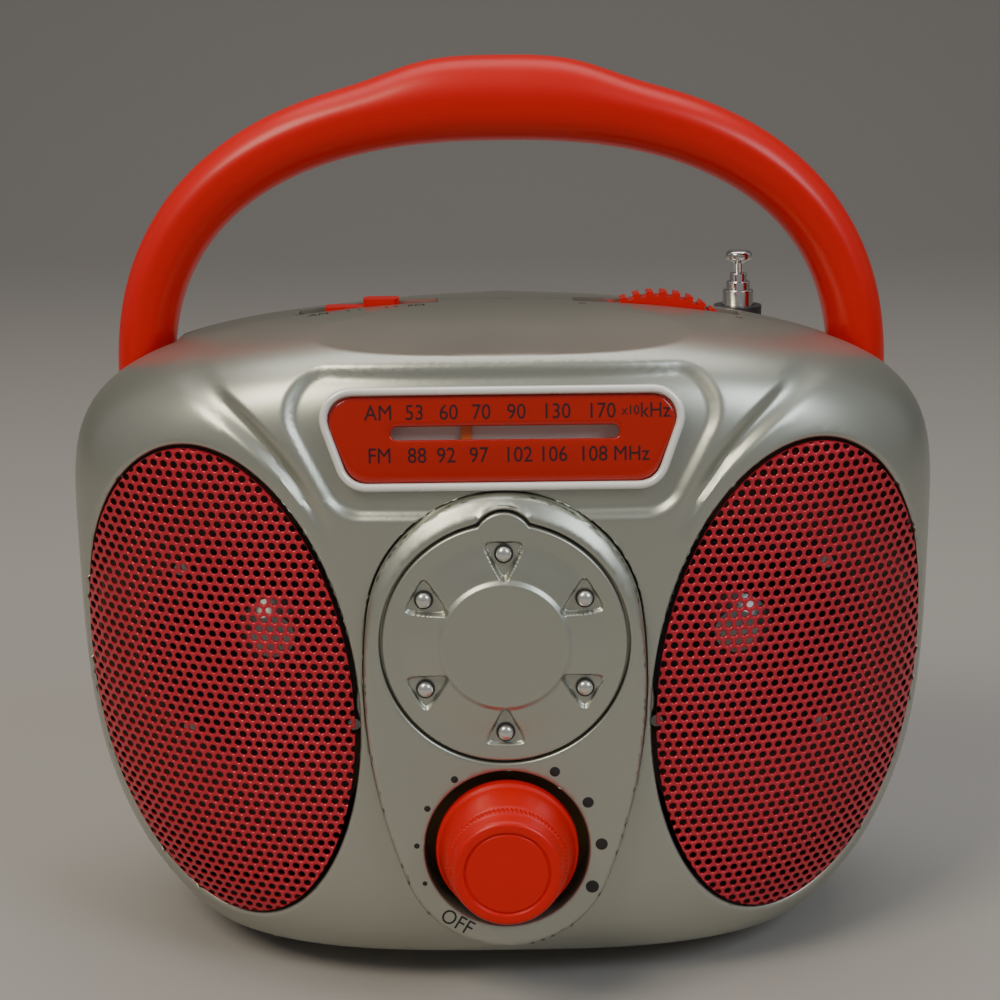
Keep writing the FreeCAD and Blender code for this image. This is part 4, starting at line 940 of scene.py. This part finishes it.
def make_window_rim():
    """A pale bead round the lens: the shell's silver lip, coloured light as a painted highlight.
    """
    loop = lens_loop(0.55, 0.8)
    path = on_window(np.insert(loop, 1, 0.15, axis=1))
    along = np.roll(loop, -1, axis=0) - np.roll(loop, 1, axis=0)
    along = along / np.hypot(*along.T)[:, None]
    side = np.stack([along[:, 1], 0 * along[:, 0], -along[:, 0]], 1)
    sideways = place(side, np.zeros(3), WINDOW_LEAN)
    ahead = place(np.array([[0.0, -1.0, 0.0]]), np.zeros(3), WINDOW_LEAN)
    normals = np.repeat(ahead, len(path), axis=0)
    part = swept_bead(path, normals, sideways, 0.85, 1.05)
    make_piece("window_rim", [part], PAINTED_HIGHLIGHT_RIM, "case", angle=70)


def make_dial_print():
    """The two scales and their units, on the lens."""
    usual = 3.1
    upper = (("AM", -25.0), ("53", -17.7), ("60", -10.8), ("70", -4.2), ("90", 2.9),
             ("130", 11.0), ("170", 20.1), ("x10", 26.0), ("kHz", 31.0))
    lower = (("FM", -24.9), ("88", -17.3), ("92", -11.4), ("97", -4.8), ("102", 3.2),
             ("106", 10.3), ("108", 18.4), ("MHz", 26.1))
    odd = {"x10": 1.9, "kHz": 3.0, "MHz": 3.0}
    parts = []
    for row, height in ((upper, 5.5), (lower, -3.2)):
        for text, across in row:
            parts.append(letters(text, odd.get(text, usual), across, height, on_lens))
    make_piece("dial_print", parts, LENS_PRINT, "case", outward=False)


def make_scale_strip():
    """The pale strip behind the slot, on the dial plate."""
    loop = np.array([(-24.5, -2.4), (25.5, -2.4), (25.5, 5.0), (-24.5, 5.0)])
    seat, thick = 4.55, 0.2
    front = np.insert(loop, 1, seat - thick, axis=1)
    back = np.insert(loop, 1, seat, axis=1)
    faces = [(0, 1, 2, 3), (7, 6, 5, 4), (0, 4, 5, 1), (1, 5, 6, 2), (2, 6, 7, 3), (3, 7, 4, 0)]
    make_piece("scale_strip", [(on_window(np.vstack([front, back])), np.array(faces))], WHITE,
               "case")


# ---- grilles

HOLE_PITCH = 2.28
HOLE_RADIUS = 0.80
HOLE_EDGE = 0.13
SHEET = 0.8
SHEET_SEAT = 0.15


def make_grille(side, right):
    """A punched sheet on the shell's own curve.

    Every cell is a hexagon with a round hole; points past the oval are drawn in to it."""
    low = (GRILLE_AT[0] - 36, GRILLE_AT[1] - 56)
    high = (GRILLE_AT[0] + 36, GRILLE_AT[1] + 56)
    centres = hex_dots(low, high, HOLE_PITCH)
    turn = np.arange(12) * math.pi / 6 + math.pi / 6
    corner = HOLE_PITCH / math.sqrt(3)
    reach = np.where(np.arange(12) % 2 == 0, corner, HOLE_PITCH / 2)
    star = np.stack([np.cos(turn), np.sin(turn)], 1)
    layers = [(reach, 0.0), (np.full(12, HOLE_RADIUS + HOLE_EDGE), 0.0),
              (np.full(12, HOLE_RADIUS), 0.12), (np.full(12, HOLE_RADIUS), SHEET),
              (reach, SHEET)]

    def local(points):
        x, z = points[..., 0] - GRILLE_AT[0], points[..., 1] - GRILLE_AT[1]
        short = x * math.cos(GRILLE_TILT) - z * math.sin(GRILLE_TILT)
        tall = x * math.sin(GRILLE_TILT) + z * math.cos(GRILLE_TILT)
        return short, tall

    short, tall = local(centres)
    share = np.hypot(short / (GRILLE_HALF[0] + 1.2), tall / (GRILLE_HALF[1] + 1.2))
    centres = centres[share < 1]
    rows = []
    for radius, depth in layers:
        flat = centres[:, None] + star[None] * radius[None, :, None]
        short, tall = local(flat)
        share = np.clip(np.hypot(short / GRILLE_HALF[0], tall / GRILLE_HALF[1]), 1, None)
        short, tall = short / share, tall / share
        x = GRILLE_AT[0] + short * math.cos(GRILLE_TILT) + tall * math.sin(GRILLE_TILT)
        z = GRILLE_AT[1] - short * math.sin(GRILLE_TILT) + tall * math.cos(GRILLE_TILT)
        skin = front_skin(x.ravel(), z.ravel()).reshape(len(centres), 12, 3)
        skin[..., 1] += depth + SHEET_SEAT
        rows.append(skin)
    cells = np.stack(rows, 1)
    cells[..., 0] *= right
    quads = grid_faces(len(layers), 12, True)
    faces = (quads[None] + (np.arange(len(centres)) * len(layers) * 12)[:, None, None])
    points = cells.reshape(-1, 3)
    faces = faces.reshape(-1, 4)
    spread = points[faces]
    area = (np.linalg.norm(np.cross(spread[:, 2] - spread[:, 0], spread[:, 3] - spread[:, 1]),
                           axis=1) / 2)
    parts = [(points, faces[area > 1e-3])]
    edge = grille_loop(0.0, right, 240)
    band = front_skin(edge[:, 0], edge[:, 1])
    band[:, 1] += SHEET_SEAT
    low_band = band + np.array([0.0, SHEET, 0.0])
    parts.append((np.vstack([band, low_band]), grid_faces(2, len(edge), True)))
    make_piece("grille_" + side, parts, RED_MESH, "case", ("speaker_grille_" + side,),
               angle=40)


# ---- handle

HANDLE_SPAN = 81.6
HANDLE_FOOT = 124.0
HANDLE_PIVOT = 116.0
HANDLE_TOP = 198.0
HANDLE_BACK = 10.0
LEG, GRIP, DEEP = 12.6, 15.0, 18.0
HUMP, HUMP_REACH = 3.5, 24.0


def make_handle():
    """An oval section carried round a superellipse arch, with straight legs to the pivots.

    x = s cos^p t, z = foot + r sin^p t with p = 2/2.4; the section is widest a third of the way
    in from its outer side, which leaves a soft crease, and the hump lifts the outer side."""
    rise = HANDLE_TOP - HUMP - GRIP / 2 - HANDLE_FOOT
    power = 2.0 / 2.4
    turn = np.linspace(0, math.pi, 161)
    lean, lift = np.cos(turn), np.sin(turn)
    x = HANDLE_SPAN * np.sign(lean) * np.abs(lean) ** power
    z = HANDLE_FOOT + rise * np.abs(lift) ** power
    down = 34
    leg = HANDLE_FOOT - np.linspace(0.4, HANDLE_FOOT - HANDLE_PIVOT + DEEP / 2, down)
    x = np.r_[np.full(down, HANDLE_SPAN), x, np.full(down, -HANDLE_SPAN)]
    z = np.r_[leg[::-1], z, leg]
    path = np.stack([x, z], 1)
    run = np.r_[0, np.cumsum(np.hypot(*np.diff(path, axis=0).T))]
    marks = np.linspace(0, run[-1], 220)
    close = np.linspace(0, 1.2, 7)[:-1]
    fine = np.sort(np.r_[close, marks[1:-1], run[-1] - close])
    x, z = np.interp(fine, run, x), np.interp(fine, run, z)
    along = np.stack([np.gradient(x), np.gradient(z)], 1)
    along = along / np.hypot(*along.T)[:, None]
    outward = np.stack([along[:, 1], 0 * x, -along[:, 0]], 1)
    blend = np.clip((z - HANDLE_FOOT) / rise, 0, 1) ** 2
    half = (LEG + (GRIP - LEG) * blend) / 2
    hump = HUMP * np.exp(-(x / HUMP_REACH) ** 4) * (z > HANDLE_FOOT + 0.8 * rise)
    eye = np.sqrt(np.clip(1 - (np.clip(HANDLE_PIVOT - z, 0, None) / (DEEP / 2)) ** 2, 0, 1))
    steps = 48
    angle = np.arange(steps) * 2 * math.pi / steps
    side = np.sign(np.cos(angle)) * np.abs(np.cos(angle)) ** 0.8
    body = np.sign(np.sin(angle)) * np.abs(np.sin(angle)) ** 0.8
    body = body * (1.0 - 0.13 * np.abs(side - 0.28))
    reach = np.where(side[None] > 0, (half + hump)[:, None], half[:, None]) * side[None]
    points = np.stack([x, np.full(len(x), HANDLE_BACK), z], 1)[:, None]
    points = points + outward[:, None] * reach[..., None]
    points = points + np.array([0, 1.0, 0]) * (DEEP / 2 * body[None] * eye[:, None])[..., None]
    parts = [(points.reshape(-1, 3), grid_faces(len(x), steps, True))]
    make_piece("carry_handle", parts, RED, "handle", ("handle",), angle=60)


# ---- antenna


def make_antenna():
    """Four tubes with rounded lips, each a step above the one outside it, and a tip cap."""
    across, back = 56.1, 24.0
    foot, wall = 44.0, 0.72
    tops = [143.5 + 1.97 * number for number in range(4)]
    for number, (top, name) in enumerate(zip(tops, ("outer", "second", "third", "tip"))):
        outer = 3.6 - 0.8 * number
        low = foot + 1.5 * number
        if number < 3:
            inner = outer - wall
            corners = [(inner, low), (outer, low), (outer, top), (inner, top), (inner, low)]
        else:
            corners = [(0, low), (outer, low), (outer, top + 0.4), (2.2, top + 0.9),
                       (3.1, top + 1.2), (3.1, top + 2.6), (2.5, top + 3.2), (0, top + 3.2)]
        profile = rounded_profile(corners, 0.35)
        points, faces = lathe(profile, 40)
        upright = np.stack([points[:, 0] + across, points[:, 2] + back, -points[:, 1]], 1)
        make_piece("tube_" + name, [(upright, faces)], CHROME, "antenna_" + name,
                   ("antenna_tube_%d" % (number + 1),), angle=35)


# ---- prints on top


def on_top(points):
    """Flat drawing (x, -, y) laid on the sloping top, by its height at each point."""
    start = np.stack([points[:, 0], points[:, 2], np.full(len(points), HEART[2])], 1)
    top = march(start, np.tile([0.0, 0.0, 1.0], (len(start), 1)))
    top[:, 2] += -points[:, 1] + 0.01
    return top


def make_top_marks():
    """Small band names and arrows beside the band slot, and strokes before the wheel."""
    parts = [letters("AM", 1.9, -40.0, -6.2, on_top, wide=1.2),
             letters("FM", 1.9, -18.5, -6.2, on_top, wide=1.2)]
    for x, wide in ((-33.5, 5.0), (-25.0, 4.0), (17.5, 1.6), (52.0, 1.6)):
        for step in range(2):
            points, faces = disc_part(x + step * wide * 0.5, -6.2, 0.35, 0.04, 12)
            parts.append((on_top(points), faces))
    make_piece("top_marks", parts, PRINT, "case", outward=False)


# ---- floor and light


def make_floor():
    """A pale floor that curves up into a backdrop a metre or so behind, in metres."""
    mesh = bpy.data.meshes.new("floor")
    steps = 40
    start, bend_at, radius = -3.0, 1.2, 1.0
    flat_share, bend_share = 0.4, 0.3
    run = np.linspace(0, 1, steps)
    turn = np.clip((run - flat_share) / bend_share, 0, 1) * math.pi / 2
    y = np.where(run < flat_share, start + run / flat_share * (bend_at - start),
                 bend_at + radius * np.sin(turn))
    z = radius * (1 - np.cos(turn)) + np.clip(run - flat_share - bend_share, 0, 1) * 8
    x = np.array([-4.0, 4.0])
    points = np.stack([np.tile(x, steps), np.repeat(y, 2), np.repeat(z, 2)], 1)
    mesh.from_pydata(points.tolist(), [], grid_faces(steps, 2).tolist())
    mesh.shade_smooth()
    floor = bpy.data.objects.new("floor", mesh)
    bpy.context.scene.collection.objects.link(floor)
    mesh.materials.append(new_material("backdrop", (0.36, 0.335, 0.31), 0.7, patch=1.0,
                                       speck=60.0, patch_mix=0.02, speck_bump=0.02))


def add_light(name, at, toward, energy, color, size):
    """A soft rectangular light at a place, turned toward another."""
    data = bpy.data.lights.new(name, "AREA")
    data.energy = energy
    data.color = color
    data.shape = "RECTANGLE"
    data.size, data.size_y = size
    light = bpy.data.objects.new(name, data)
    bpy.context.scene.collection.objects.link(light)
    light.location = at
    light.rotation_euler = (Vector(toward) - Vector(at)).to_track_quat("-Z", "Y").to_euler()


def make_lights():
    """A dim even world, a warm light upper left, a cool one upper right and one overhead."""
    world = bpy.data.worlds.new("studio")
    world.use_nodes = True
    sky = world.node_tree.nodes["Background"].inputs
    sky["Color"].default_value = (0.86, 0.87, 0.90, 1)
    sky["Strength"].default_value = 0.28
    bpy.context.scene.world = world
    target = (0, 0, 0.09)
    add_light("key", (-0.55, -0.55, 0.95), target, 8.0, (1.0, 0.92, 0.76), (0.45, 0.45))
    add_light("fill", (0.7, -0.6, 0.75), target, 4.5, (0.84, 0.93, 1.0), (0.45, 0.45))
    add_light("top", (0.0, 0.15, 1.2), target, 5.5, (1.0, 0.98, 0.95), (1.2, 0.6))


# ---- all together

finish_cad_nodes()
make_front_case()
make_front_panel()
make_hub_disc()
make_studs()
make_knob()
make_volume_marks()
make_lens()
make_window_rim()
make_dial_print()
make_scale_strip()
for grille_side, grille_right in (("right", 1), ("left", -1)):
    make_grille(grille_side, grille_right)
make_handle()
make_antenna()
make_top_marks()
make_floor()
make_lights()
